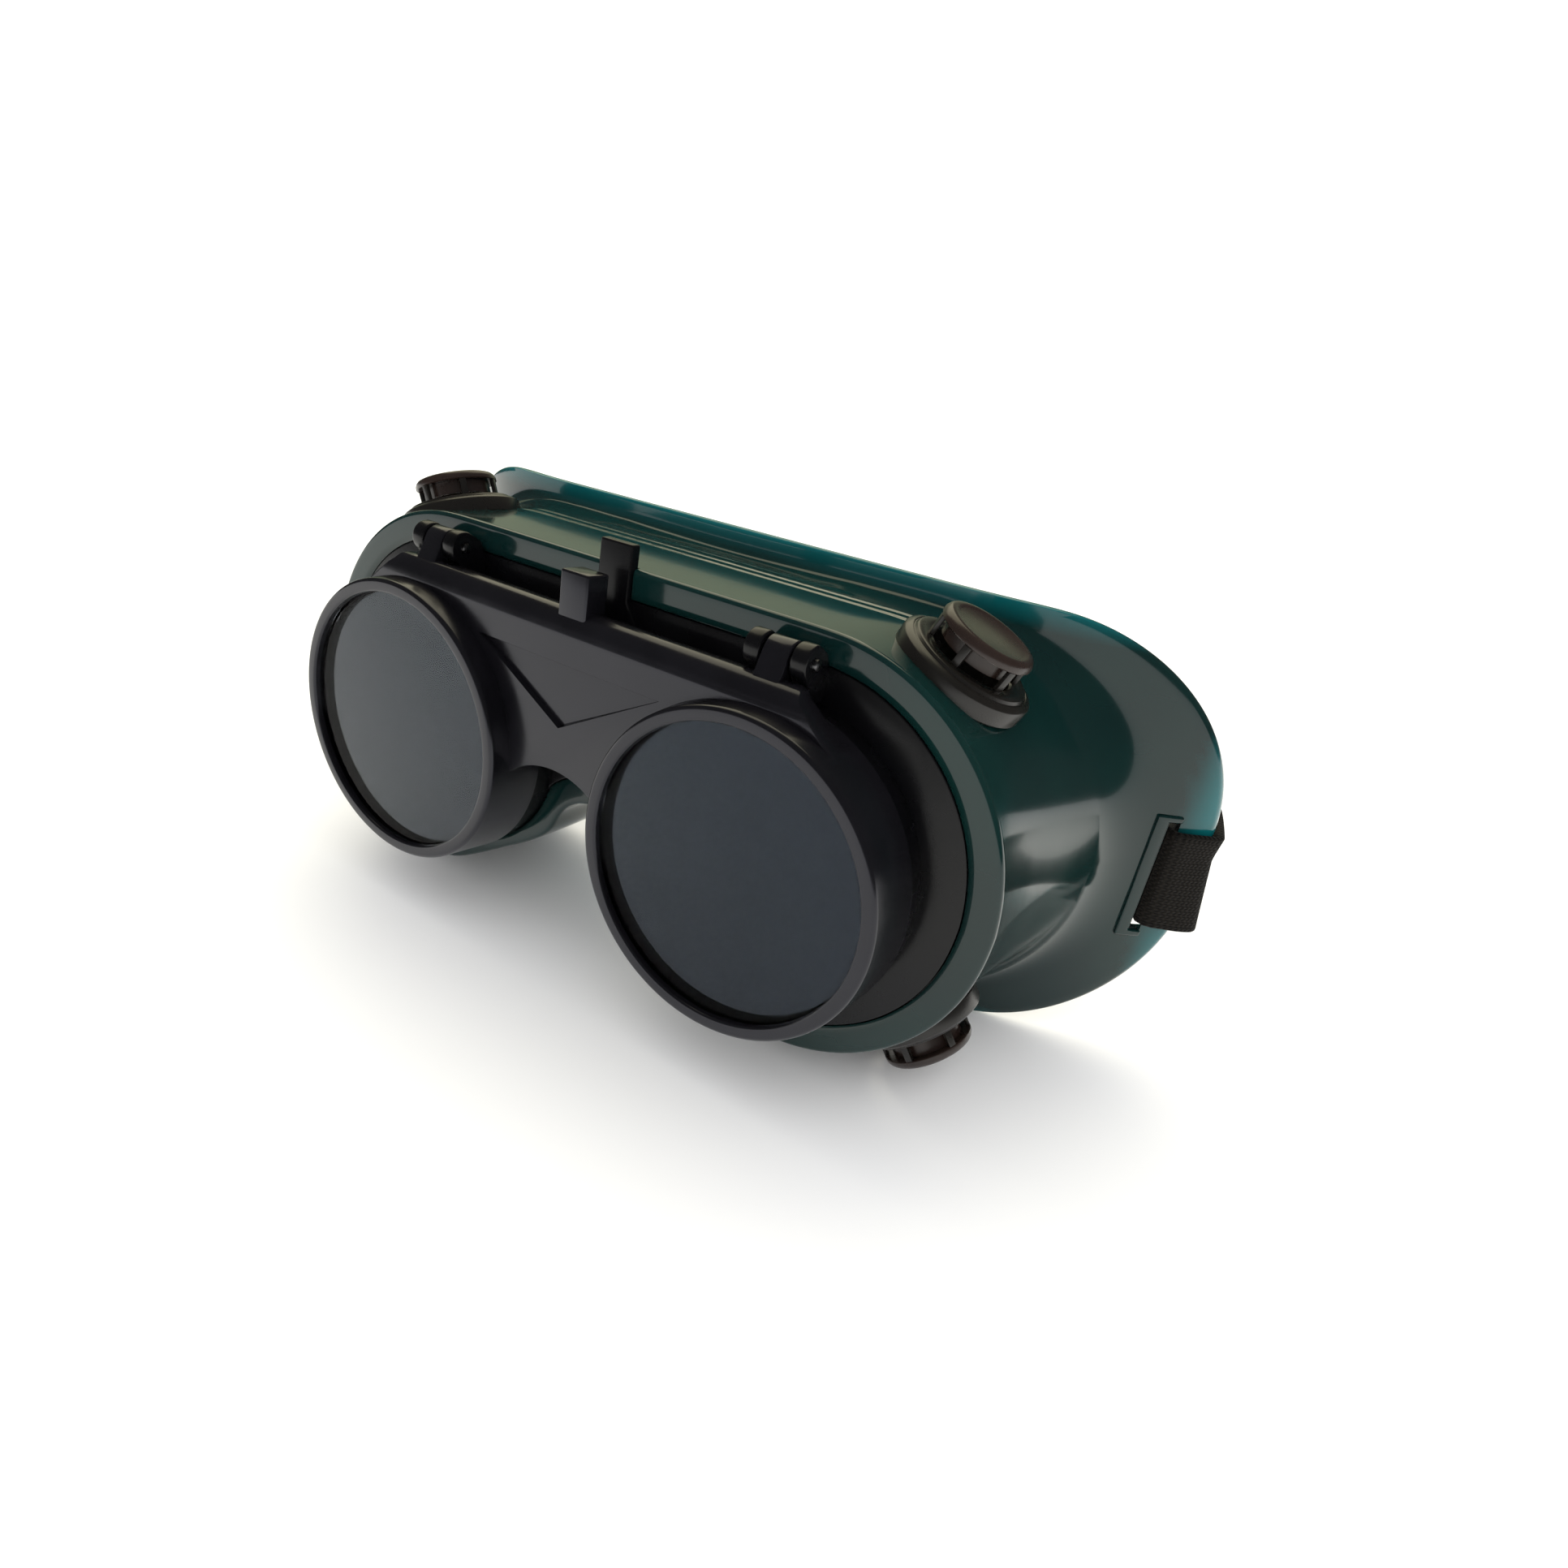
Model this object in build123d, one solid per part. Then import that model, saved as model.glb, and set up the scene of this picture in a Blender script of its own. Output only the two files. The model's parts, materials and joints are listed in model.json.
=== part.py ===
from build123d import *
import math
import os

# Flip-front welding goggles. Millimetres.
# Origin: midway between the two lens centres, in the plane of the flip-up rims' front faces.
# +X is the wearer's left, +Y runs back to the face, +Z is up.

# ---- shared ----
FAR = 120.0                 # beyond the whole object, for tools that cut or trim right through
CLEAR = 1.0                 # how far a cutting tool starts outside the face it cuts
COS_45 = math.sqrt(0.5)

# ---- lenses and the rings that hold them ----
LENS_SPACING = 76.2         # lens centre to lens centre
LENS_R = 25.0               # standard 50 mm round lens
POCKET_R = 25.15            # wall of each lens pocket
COVER_T = 1.4               # clear cover lens of the flip front
SHADE_T = 2.6               # dark lens of the flip front
CLEAR_T = 2.0               # fixed safety lens behind the flip front
GASKET_T = 1.0
LENS_RING_T = 3.0
LENS_RING_BORE_R = 22.6
SEAT_GAP = 0.05             # air between stacked lens faces
RING_R = 25.1               # outside of the screw-in rings

# ---- flip-up front ----
FLIP_LIP_R = 24.5           # sight opening in front of the cover lens
FLIP_LIP_T = 1.2
FLIP_CUP_FRONT_R = 27.0
FLIP_CUP_BACK_R = 27.8
FLIP_CUP_BACK_Y = 11.0
RIM_ROUND = 0.8
PLATE_FRONT_Y = 4.0
PLATE_BACK_Y = 8.6
PLATE_TOP_Z = 31.2
PLATE_TOP_HALF_W = 44.0
PLATE_BEVEL_Z = 4.2         # how far down the front face the rounded top edge reaches
PLATE_BEVEL_Y = 3.2
PLATE_BEVEL_KNEE = 0.35     # share of both at which the bevel's two flats meet
PLATE_LOW_Z = -6.0          # the plate is drawn down to here, then arched
FLIP_ARCH_R = 17.0
FLIP_ARCH_TOP_Z = 3.0
FIELD_HALF_W = 20.0         # sunken V-shaped field on the bridge
FIELD_TOP_Z = 22.2
FIELD_APEX_Z = 11.3
FIELD_DEPTH = 1.0

# ---- hinge and catch ----
HINGE_Y = 10.3
HINGE_Z = 34.0
PIN_R = 1.0
LUG_BORE_R = 1.05           # running fit on the pin
LUG_X = 37.2
LUG_W = 4.6
LUG_R = 2.7
LUG_ROOT_Y = 4.7
LUG_ROOT_Z = 27.4
LUG_ARM_FRONT = (-2.5, 1.0)     # arm corners at the knuckle, Y and Z from the hinge axis
LUG_ARM_BACK = (2.3, -1.4)
EAR_R = 2.9
EAR_T = 2.8
EAR_GAP = 0.4
EAR_ROOT_Z = 27.8           # the ear meets the panel between these heights
EAR_ROOT_TOP_Z = 32.8
EAR_WEB_FRONT = (-2.0, -2.1)    # web corners at the knuckle, Y and Z from the hinge axis
EAR_WEB_BACK = (0.8, 2.78)
EAR_WEB_STEP = (0.4, -0.6)      # web's lower front corner, from the lens cup's face and EAR_ROOT_Z
EAR_SETBACK = 0.1               # the web's top stays this far in front of the soft cup
PIN_OVERHANG = 0.7
THUMB_HALF_W = 3.0
THUMB_FRONT_Y = 5.0
THUMB_BACK_Y = 10.0
THUMB_FOOT_Z = 26.0
THUMB_TOP_Z = 37.6
TONGUE_HALF_W = 3.5
TONGUE_FRONT_Y = 14.2
TONGUE_T = 2.2
TONGUE_TOP_Z = 42.3
TONGUE_FOOT_Z = 26.5
TONGUE_FOOT_HALF_W = 6.5
TONGUE_FLARE_H = 5.0
TONGUE_GAP = 0.2            # clearance of its notch in the soft cup's rim

# ---- lens carrier (fixed frame) ----
CARRIER_Y = 15.2            # front face of its panel
CARRIER_T = 2.0
CARRIER_INSET = 5.35        # panel edge inside the body's outline
CARRIER_FLANGE_INSET = 2.9
CARRIER_FLANGE_T = 1.8
CARRIER_CUP_R = 27.3
CARRIER_CUP_Y = 11.6
CARRIER_CUP_BACK_Y = 19.8
CARRIER_LIP_R = 24.0
CARRIER_LIP_T = 1.2

# ---- soft cup ----
CUP_FRONT_Y = 15.0
CUP_MID_Y = 45.0
CUP_END_Y = 82.0            # the wall is lofted past the face and then trimmed
CUP_WALL = 2.0
CUP_LIP_T = 2.0
CUP_LIP_INSET = 5.2
NOTCH_INSET_SHARE = 0.3     # how much an inset lifts the notch's lower corners
CUP_FRONT = dict(half_w=77.6, top=38.4, bottom=-35.8, r_top=36.6, r_bottom=36.6,
                 notch_x=10.5, notch_z=-18.0, apex=-7.2)
CUP_MID = dict(half_w=80.8, top=38.7, bottom=-35.5, r_top=36.4, r_bottom=36.4,
               notch_x=11.5, notch_z=-18.6, apex=-5.4)
CUP_END = dict(half_w=94.5, top=39.6, bottom=-33.5, r_top=32.0, r_bottom=31.0,
               notch_x=17.0, notch_z=-20.0, apex=0.0)
FLANGE = dict(half_w=99.6, top=44.2, bottom=-38.2, r_top=36.0, r_bottom=33.0,
              notch_x=11.5, notch_z=-23.0, apex=-5.0)
FLANGE_T = 2.0
FLANGE_START_Y = 45.0
FLARE_ANGLE = 93.0          # sweep of each lower corner arc, into the slope up to the nose
FACE_Y = 50.0               # flange front face at the centre
FACE_FLAT_HALF_W = 45.0
FACE_WRAP_R = 77.0          # plan radius of the flange's wrap round the temples
FACE_WRAP_SWEEP = 52.0
SLOT_X = 92.3
SLOT_W = 3.0
SLOT_HALF_H = 11.6
SLOT_MID_Z = -1.0
SLOT_CUT_Y = 70.0
SLOT_CUT_DEPTH = 40.0

# ---- vents ----
VENT_TOP_ANGLE = 66.0
VENT_BOTTOM_ANGLE = -52.0
VENT_TOP_Y = 31.3
VENT_BOTTOM_Y = 31.2
VENT_ARC_X = 42.8           # centre of the body's corner arcs at the vents
VENT_ARC_Z = 1.5
VENT_SEAT_R = 36.9          # from that centre to the face the vent sits on
VENT_PAD_DEPTH = 5.0
VENT_PAD_R = 12.1
VENT_BASE_R = 11.8
VENT_BASE_T = 1.8
VENT_BASE_TAPER = 35.0
VENT_HOLE_R = 8.5
VENT_SLEEVE_R = 8.4
VENT_BORE_R = 7.2
VENT_SLEEVE_DEPTH = 5.0
VENT_POSTS = 6
VENT_POST_W = 1.6
VENT_POST_IN_R = 7.3
VENT_POST_OUT_R = 8.2
VENT_POST_H = 3.2
VENT_CAP_R = 8.2
VENT_CAP_TOP_R = 7.3
VENT_CAP_T = 2.0
VENT_SKIRT_R = 6.9
VENT_SKIRT_BORE_R = 6.0
VENT_SKIRT_H = 2.2

# ---- headband ----
BAND_T = 1.6
BAND_H = 20.0
BAND_FRONT_Z = SLOT_MID_Z
BAND_BACK_Z = -25.4
BAND_SLOPE_START_Y = 88.0
BAND_SLOPE_END_Y = 150.0
BAND_BACK_Y = 160.0
BAND_PLY = 2.0              # centre to centre of the two layers where it is doubled
BAND_SLOT = (91.7, 64.4)    # where the band passes the left slot, in plan
BAND_BEND = (91.8, 71.2)    # where each tail turns back along the outer layer
BAND_OUTER = [(101.0, 72.4), (99.6, 84.0), (93.0, 134.0), (64.0, BAND_BACK_Y)]
BAND_OUTER_RADII = [1.4, 30.0, 60.0, 34.0]
SEWN_TAIL = [(97.5, 84.0), (94.4, 108.0)]
SLIDE_TAIL = [(97.5, 84.0), (91.1, 133.0), (63.2, BAND_BACK_Y - BAND_PLY)]
SLIDE_TAIL_RADII = [4.0, 8.0, 58.0, 32.0]
SLIDE_TAIL_END_X = 20.0
TAIL_RADII = [4.0, 8.0]
SLIDER_W = 13.0
SLIDER_T = 7.0
SLIDER_CORNER_R = 2.0
SLIDER_H = 26.0
SLIDER_WINDOW_T = 4.4
SLIDER_WINDOW_H = 20.8
SLIDER_X = -12.0

HALF_SPACING = LENS_SPACING / 2
SIDES = {"left": 1, "right": -1}
parts = {}


def slab(sketch, y0, y1):
    """Extrude a front-view sketch (X across, Z up) from y0 back to y1."""
    return extrude(Plane.XZ.offset(-y0) * sketch, amount=y1 - y0, dir=(0, 1, 0))


def tube(side, r_out, r_in, y0, y1):
    """A ring round one lens axis."""
    return slab(Pos(side * HALF_SPACING, 0) * (Circle(r_out) - Circle(r_in)), y0, y1)


def disc(side, radius, y0, y1):
    return slab(Pos(side * HALF_SPACING, 0) * Circle(radius), y0, y1)


def block(x0, x1, y0, y1, z0, z1):
    return Pos((x0 + x1) / 2, (y0 + y1) / 2, (z0 + z1) / 2) * Box(x1 - x0, y1 - y0, z1 - z0)


def side_profile(points, x0, x1):
    """Extrude a side-view polygon (Y, Z) from x0 to x1."""
    face = Plane.YZ.offset(x0) * make_face(Polyline(*points, close=True))
    return extrude(face, amount=x1 - x0, dir=(1, 0, 0))


def x_cylinder(radius, y, z, x0, x1):
    return Plane.YZ.offset(x0) * Pos(y, z) * extrude(Circle(radius), amount=x1 - x0)


def outline(half_w, top, bottom, r_top, r_bottom, notch_x, notch_z, apex, inset=0.0):
    """Front view of the goggles: rounded rectangle with an arched nose notch."""
    w, t, b = half_w - inset, top - inset, bottom + inset
    rt, rb = r_top - inset, r_bottom - inset
    nx, nz, na = notch_x + inset, notch_z + NOTCH_INSET_SHARE * inset, apex + inset
    edges = [Line((-(w - rt), t), (w - rt, t))]
    for s in (1, -1):
        end = math.radians(-FLARE_ANGLE)
        foot = (s * (w - rb + rb * math.cos(end)), b + rb + rb * math.sin(end))
        knee = (s * (w - rb + rb * math.cos(end / 2)), b + rb + rb * math.sin(end / 2))
        shoulder = (s * (w - rt + rt * COS_45), t - rt + rt * COS_45)
        edges.append(ThreePointArc((s * (w - rt), t), shoulder, (s * w, t - rt)))
        edges.append(Line((s * w, t - rt), (s * w, b + rb)))
        edges.append(ThreePointArc((s * w, b + rb), knee, foot))
        edges.append(Line(foot, (s * nx, nz)))
    edges.append(ThreePointArc((nx, nz), (0, na), (-nx, nz)))
    return make_face(edges)


def plan_region(setback):
    """Everything in front of the face-side surface, moved back by setback."""
    r = FACE_WRAP_R - setback
    y0 = FACE_Y + setback
    sweep = math.radians(FACE_WRAP_SWEEP)
    half = math.radians(FACE_WRAP_SWEEP / 2)
    edges = [Line((-FACE_FLAT_HALF_W, y0), (FACE_FLAT_HALF_W, y0))]
    tips = []
    for s in (1, -1):
        mid = (s * (FACE_FLAT_HALF_W + r * math.sin(half)), y0 + r - r * math.cos(half))
        tip = (s * (FACE_FLAT_HALF_W + r * math.sin(sweep)), y0 + r - r * math.cos(sweep))
        edges.append(ThreePointArc((s * FACE_FLAT_HALF_W, y0), mid, tip))
        edges.append(Line(tip, (tip[0], 0)))
        tips.append(tip[0])
    edges.append(Line((tips[0], 0), (tips[1], 0)))
    return Pos(0, 0, -FAR) * extrude(make_face(edges), amount=2 * FAR)


def cup_loft(inset):
    """The cup's wall surface as a solid, from the front rim past the face."""
    stations = ((CUP_FRONT_Y, CUP_FRONT), (CUP_MID_Y, CUP_MID), (CUP_END_Y, CUP_END))
    return loft([Plane.XZ.offset(-y) * outline(**dims, inset=inset) for y, dims in stations], ruled=True)


def vent_places():
    """Name and seat plane of each vent; the plane's normal points out of the cup."""
    heights = {"top": (VENT_TOP_ANGLE, VENT_TOP_Y), "bottom": (VENT_BOTTOM_ANGLE, VENT_BOTTOM_Y)}
    for level, (angle, y) in heights.items():
        for side, s in SIDES.items():
            out = (s * math.cos(math.radians(angle)), 0, math.sin(math.radians(angle)))
            seat = (s * VENT_ARC_X + out[0] * VENT_SEAT_R, y, VENT_ARC_Z + out[2] * VENT_SEAT_R)
            yield level + "_" + side, Plane(origin=seat, x_dir=(0, 1, 0), z_dir=out)


def lens_panel(inset, cup_gap):
    """The carrier's outline: the body's outline moved in, grown round the lens cups."""
    sketch = Sketch() + outline(**CUP_FRONT, inset=inset)
    for s in SIDES.values():
        sketch += Pos(s * HALF_SPACING, 0) * Circle(CARRIER_CUP_R + cup_gap)
    return sketch


def make_cup_shell():
    inside = cup_loft(CUP_WALL)
    band = plan_region(FLANGE_T) - plan_region(0)
    shell = cup_loft(0) & plan_region(FLANGE_T)
    shell += slab(outline(**FLANGE), FLANGE_START_Y, CUP_END_Y) & band
    for _, seat in vent_places():
        shell += seat * Pos(0, 0, -VENT_PAD_DEPTH / 2) * Cylinder(VENT_PAD_R, VENT_PAD_DEPTH)
    shell -= inside
    lip = outline(**CUP_FRONT, inset=CUP_WALL / 2) - lens_panel(CUP_LIP_INSET, CARRIER_INSET - CUP_LIP_INSET)
    shell += slab(lip, CUP_FRONT_Y, CUP_FRONT_Y + CUP_LIP_T)
    for _, seat in vent_places():
        shell -= seat * Cylinder(VENT_HOLE_R, 4 * VENT_PAD_DEPTH)
        shell -= seat * Pos(0, 0, VENT_PAD_DEPTH / 2) * Cylinder(VENT_PAD_R, VENT_PAD_DEPTH)
    for s in SIDES.values():
        shell -= Pos(s * SLOT_X, SLOT_CUT_Y, SLOT_MID_Z) * Box(SLOT_W, SLOT_CUT_DEPTH, 2 * SLOT_HALF_H)
    half_w = TONGUE_HALF_W + TONGUE_GAP
    return shell - block(-half_w, half_w, CUP_FRONT_Y - CLEAR, TONGUE_FRONT_Y + TONGUE_T + TONGUE_GAP,
                         CUP_FRONT["top"] - CUP_LIP_INSET - CLEAR, CUP_FRONT["top"] + CLEAR)


def from_hinge(offset):
    """A side-view point (Y, Z), given from the hinge axis."""
    return (HINGE_Y + offset[0], HINGE_Z + offset[1])


def make_ear(x0):
    """One hinge ear of the carrier, from the knuckle back to the panel."""
    knuckle = x_cylinder(EAR_R, HINGE_Y, HINGE_Z, x0, x0 + EAR_T)
    root_y = CARRIER_Y + CARRIER_T / 2
    step = (CARRIER_CUP_Y + EAR_WEB_STEP[0], EAR_ROOT_Z + EAR_WEB_STEP[1])
    web = side_profile([from_hinge(EAR_WEB_FRONT), from_hinge(EAR_WEB_BACK),
                        (CUP_FRONT_Y - EAR_SETBACK, EAR_ROOT_TOP_Z), (root_y, EAR_ROOT_TOP_Z),
                        (root_y, EAR_ROOT_Z), step], x0, x0 + EAR_T)
    return knuckle + web - x_cylinder(PIN_R, HINGE_Y, HINGE_Z, x0 - CLEAR, x0 + EAR_T + CLEAR)


def ear_starts():
    """Inner X of every hinge ear."""
    inner = LUG_X - LUG_W / 2 - EAR_GAP - EAR_T
    outer = LUG_X + LUG_W / 2 + EAR_GAP
    return [inner, outer, -inner - EAR_T, -outer - EAR_T]


def make_tongue():
    """Upright catch tongue on the carrier's centre, on a flared foot."""
    y1 = TONGUE_FRONT_Y + TONGUE_T
    w, foot = TONGUE_HALF_W, TONGUE_FOOT_HALF_W
    waist = EAR_ROOT_TOP_Z
    flare = waist - TONGUE_FLARE_H
    shape = Polyline((-w, TONGUE_TOP_Z), (w, TONGUE_TOP_Z), (w, waist), (foot, flare), (foot, TONGUE_FOOT_Z),
                     (-foot, TONGUE_FOOT_Z), (-foot, flare), (-w, waist), close=True)
    return slab(make_face(shape), TONGUE_FRONT_Y, y1)


def make_lens_carrier():
    panel_back = CARRIER_Y + CARRIER_T
    flange_front = CUP_FRONT_Y + CUP_LIP_T
    carrier = slab(lens_panel(CARRIER_INSET, 0), CARRIER_Y, panel_back)
    carrier += slab(lens_panel(CARRIER_FLANGE_INSET, 0), flange_front, flange_front + CARRIER_FLANGE_T)
    for s in SIDES.values():
        carrier += disc(s, CARRIER_CUP_R, CARRIER_CUP_Y, CARRIER_CUP_BACK_Y)
    for x0 in ear_starts():
        carrier += make_ear(x0)
    carrier += make_tongue()
    for s in SIDES.values():
        carrier -= disc(s, CARRIER_LIP_R, CARRIER_CUP_Y - CLEAR, CARRIER_CUP_BACK_Y + CLEAR)
        carrier -= disc(s, POCKET_R, CARRIER_CUP_Y + CARRIER_LIP_T, CARRIER_CUP_BACK_Y + CLEAR)
    return carrier


def flip_plate_outline():
    """Bridge plate joining the two flip cups, arched over the nose."""
    reach = math.hypot(PLATE_TOP_HALF_W - HALF_SPACING, PLATE_TOP_Z)
    lean = math.atan2(PLATE_TOP_Z, PLATE_TOP_HALF_W - HALF_SPACING) - math.acos(FLIP_CUP_FRONT_R / reach)
    tangent_x = HALF_SPACING + FLIP_CUP_FRONT_R * math.cos(lean)
    tangent_z = FLIP_CUP_FRONT_R * math.sin(lean)
    right = [(PLATE_TOP_HALF_W, PLATE_TOP_Z), (tangent_x, tangent_z), (HALF_SPACING, 0)]
    left = [(-x, z) for x, z in reversed(right)]
    bridge = make_face(Polyline(*right, (0, PLATE_LOW_Z), *left, close=True))
    return bridge - Pos(0, FLIP_ARCH_TOP_Z - FLIP_ARCH_R) * Circle(FLIP_ARCH_R)


def make_flip_plate():
    plate = slab(flip_plate_outline(), PLATE_FRONT_Y, PLATE_BACK_Y)
    outside_y, outside_z = PLATE_FRONT_Y - CLEAR, PLATE_TOP_Z + CLEAR
    back, low = PLATE_FRONT_Y + PLATE_BEVEL_Y, PLATE_TOP_Z - PLATE_BEVEL_Z
    knee = (PLATE_FRONT_Y + PLATE_BEVEL_Y * PLATE_BEVEL_KNEE, PLATE_TOP_Z - PLATE_BEVEL_Z * PLATE_BEVEL_KNEE)
    bevel = side_profile([(outside_y, outside_z), (back, outside_z), (back, PLATE_TOP_Z), knee,
                          (PLATE_FRONT_Y, low), (outside_y, low)], -FAR, FAR)
    field = make_face(Polyline((-FIELD_HALF_W, FIELD_TOP_Z), (FIELD_HALF_W, FIELD_TOP_Z), (0, FIELD_APEX_Z),
                               close=True))
    return plate - bevel - slab(field, PLATE_FRONT_Y - CLEAR, PLATE_FRONT_Y + FIELD_DEPTH)


def make_flip_cup(side):
    """Slightly tapered cup with a rounded front rim; hollow is cut later."""
    r0, r1 = FLIP_CUP_FRONT_R, FLIP_CUP_BACK_R
    knee = RIM_ROUND * (1 - COS_45)
    profile = make_face([
        Line((0, 0), (r0 - RIM_ROUND, 0)),
        ThreePointArc((r0 - RIM_ROUND, 0), (r0 - knee, knee), (r0, RIM_ROUND)),
        Line((r0, RIM_ROUND), (r1, FLIP_CUP_BACK_Y)),
        Line((r1, FLIP_CUP_BACK_Y), (0, FLIP_CUP_BACK_Y)),
        Line((0, FLIP_CUP_BACK_Y), (0, 0))])
    return Pos(side * HALF_SPACING, 0, 0) * revolve(profile, axis=Axis.Y)


def make_lug(side):
    x0 = side * LUG_X - LUG_W / 2
    knuckle = x_cylinder(LUG_R, HINGE_Y, HINGE_Z, x0, x0 + LUG_W)
    arm = side_profile([(LUG_ROOT_Y, LUG_ROOT_Z), from_hinge(LUG_ARM_FRONT), from_hinge(LUG_ARM_BACK),
                        (PLATE_BACK_Y, LUG_ROOT_Z)], x0, x0 + LUG_W)
    return knuckle + arm


def make_flip_frame():
    frame = make_flip_plate()
    for s in SIDES.values():
        frame += make_flip_cup(s)
        frame += make_lug(s)
    frame += block(-THUMB_HALF_W, THUMB_HALF_W, THUMB_FRONT_Y, THUMB_BACK_Y, THUMB_FOOT_Z, THUMB_TOP_Z)
    for s in SIDES.values():
        frame -= disc(s, FLIP_LIP_R, -CLEAR, FLIP_CUP_BACK_Y + CLEAR)
        frame -= disc(s, POCKET_R, FLIP_LIP_T, FLIP_CUP_BACK_Y + CLEAR)
    return frame - x_cylinder(LUG_BORE_R, HINGE_Y, HINGE_Z, -FAR, FAR)


def make_hinge_pin(side):
    start = LUG_X - LUG_W / 2 - EAR_GAP - EAR_T - PIN_OVERHANG
    end = LUG_X + LUG_W / 2 + EAR_GAP + EAR_T + PIN_OVERHANG
    x0 = start if side > 0 else -end
    return x_cylinder(PIN_R, HINGE_Y, HINGE_Z, x0, x0 + end - start)


def make_lens_stacks():
    """Every round piece that sits in a lens pocket, front to back."""
    for name, s in SIDES.items():
        y = FLIP_LIP_T
        parts["cover_lens_" + name] = disc(s, LENS_R, y, y + COVER_T)
        y += COVER_T + SEAT_GAP
        parts["shade_lens_" + name] = disc(s, LENS_R, y, y + SHADE_T)
        y += SHADE_T + SEAT_GAP
        parts["shade_lens_ring_" + name] = tube(s, RING_R, LENS_RING_BORE_R, y, y + LENS_RING_T)
        y = CARRIER_CUP_Y + CARRIER_LIP_T
        parts["clear_lens_" + name] = disc(s, LENS_R, y, y + CLEAR_T)
        y += CLEAR_T
        parts["lens_gasket_" + name] = tube(s, LENS_R, LENS_RING_BORE_R, y, y + GASKET_T)
        y += GASKET_T
        parts["clear_lens_ring_" + name] = tube(s, RING_R, LENS_RING_BORE_R, y, y + LENS_RING_T)


def make_vent_base(seat):
    base = seat * extrude(Circle(VENT_BASE_R), amount=VENT_BASE_T, taper=VENT_BASE_TAPER)
    base += seat * Pos(0, 0, -VENT_SLEEVE_DEPTH / 2) * Cylinder(VENT_SLEEVE_R, VENT_SLEEVE_DEPTH)
    base -= seat * Cylinder(VENT_BORE_R, 4 * VENT_SLEEVE_DEPTH)
    depth = VENT_POST_OUT_R - VENT_POST_IN_R
    mid_r = VENT_POST_IN_R + depth / 2
    post = Pos(mid_r, 0, VENT_BASE_T + VENT_POST_H / 2) * Box(depth, VENT_POST_W, VENT_POST_H)
    for i in range(VENT_POSTS):
        base += seat * (Rot(0, 0, i * 360 / VENT_POSTS) * post)
    return base


def make_vent_cap(seat):
    bottom = VENT_BASE_T + VENT_POST_H
    lean = math.degrees(math.atan2(VENT_CAP_R - VENT_CAP_TOP_R, VENT_CAP_T))
    cap = Pos(0, 0, bottom) * extrude(Circle(VENT_CAP_R), amount=VENT_CAP_T, taper=lean)
    skirt = Pos(0, 0, bottom - VENT_SKIRT_H / 2) * (Cylinder(VENT_SKIRT_R, VENT_SKIRT_H)
                                                    - Cylinder(VENT_SKIRT_BORE_R, VENT_SKIRT_H))
    return seat * (cap + skirt)


def mirrored(points):
    return [(-x, y) for x, y in points]


def ribbon(points, radii):
    """A band of even thickness along a plan route, extruded far up and down."""
    path = FilletPolyline(*points, radius=radii)
    return Pos(0, 0, -FAR) * extrude(trace(path, line_width=BAND_T), amount=2 * FAR)


def band_height():
    """Side-view strip that the headband keeps to: level, down a slope, level again."""
    h = BAND_H / 2
    first, start, end, last = FACE_Y, BAND_SLOPE_START_Y, BAND_SLOPE_END_Y, BAND_BACK_Y + CLEAR
    return side_profile([(first, BAND_FRONT_Z - h), (start, BAND_FRONT_Z - h), (end, BAND_BACK_Z - h),
                         (last, BAND_BACK_Z - h), (last, BAND_BACK_Z + h), (end, BAND_BACK_Z + h),
                         (start, BAND_FRONT_Z + h), (first, BAND_FRONT_Z + h)], -FAR, FAR)


def make_headband():
    """Outer layer from slot to slot round the back, a short sewn tail, and a tail back to the slider."""
    left = [BAND_SLOT] + BAND_OUTER
    band = ribbon(left + mirrored(reversed(left)), BAND_OUTER_RADII + BAND_OUTER_RADII[::-1])
    band += ribbon([BAND_SLOT, BAND_BEND] + SEWN_TAIL, TAIL_RADII)
    slide_tail = mirrored([BAND_SLOT, BAND_BEND] + SLIDE_TAIL) + [(SLIDE_TAIL_END_X, BAND_BACK_Y - BAND_PLY)]
    band += ribbon(slide_tail, SLIDE_TAIL_RADII)
    return band & band_height()


def make_band_slider():
    """Slide buckle that closes on both layers of the headband."""
    y = BAND_BACK_Y - BAND_PLY / 2
    body = Pos(SLIDER_X, y, BAND_BACK_Z) * Box(SLIDER_W, SLIDER_T, SLIDER_H)
    window = Pos(SLIDER_X, y, BAND_BACK_Z) * Box(SLIDER_W + CLEAR, SLIDER_WINDOW_T, SLIDER_WINDOW_H)
    return fillet(body.edges().filter_by(Axis.Y), SLIDER_CORNER_R) - window


def build_parts():
    parts["cup_shell"] = make_cup_shell()
    parts["lens_carrier"] = make_lens_carrier()
    parts["flip_frame"] = make_flip_frame()
    make_lens_stacks()
    for name, s in SIDES.items():
        parts["hinge_pin_" + name] = make_hinge_pin(s)
    for name, seat in vent_places():
        parts["vent_base_" + name] = make_vent_base(seat)
        parts["vent_cap_" + name] = make_vent_cap(seat)
    parts["headband"] = make_headband()
    parts["band_slider"] = make_band_slider()


def write_parts():
    os.makedirs("parts", exist_ok=True)
    for name, solid in parts.items():
        export_step(solid, "parts/" + name + ".step")


build_parts()
write_parts()
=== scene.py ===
import json
import math

import bmesh
import bpy
from mathutils import Matrix, Vector


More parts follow.
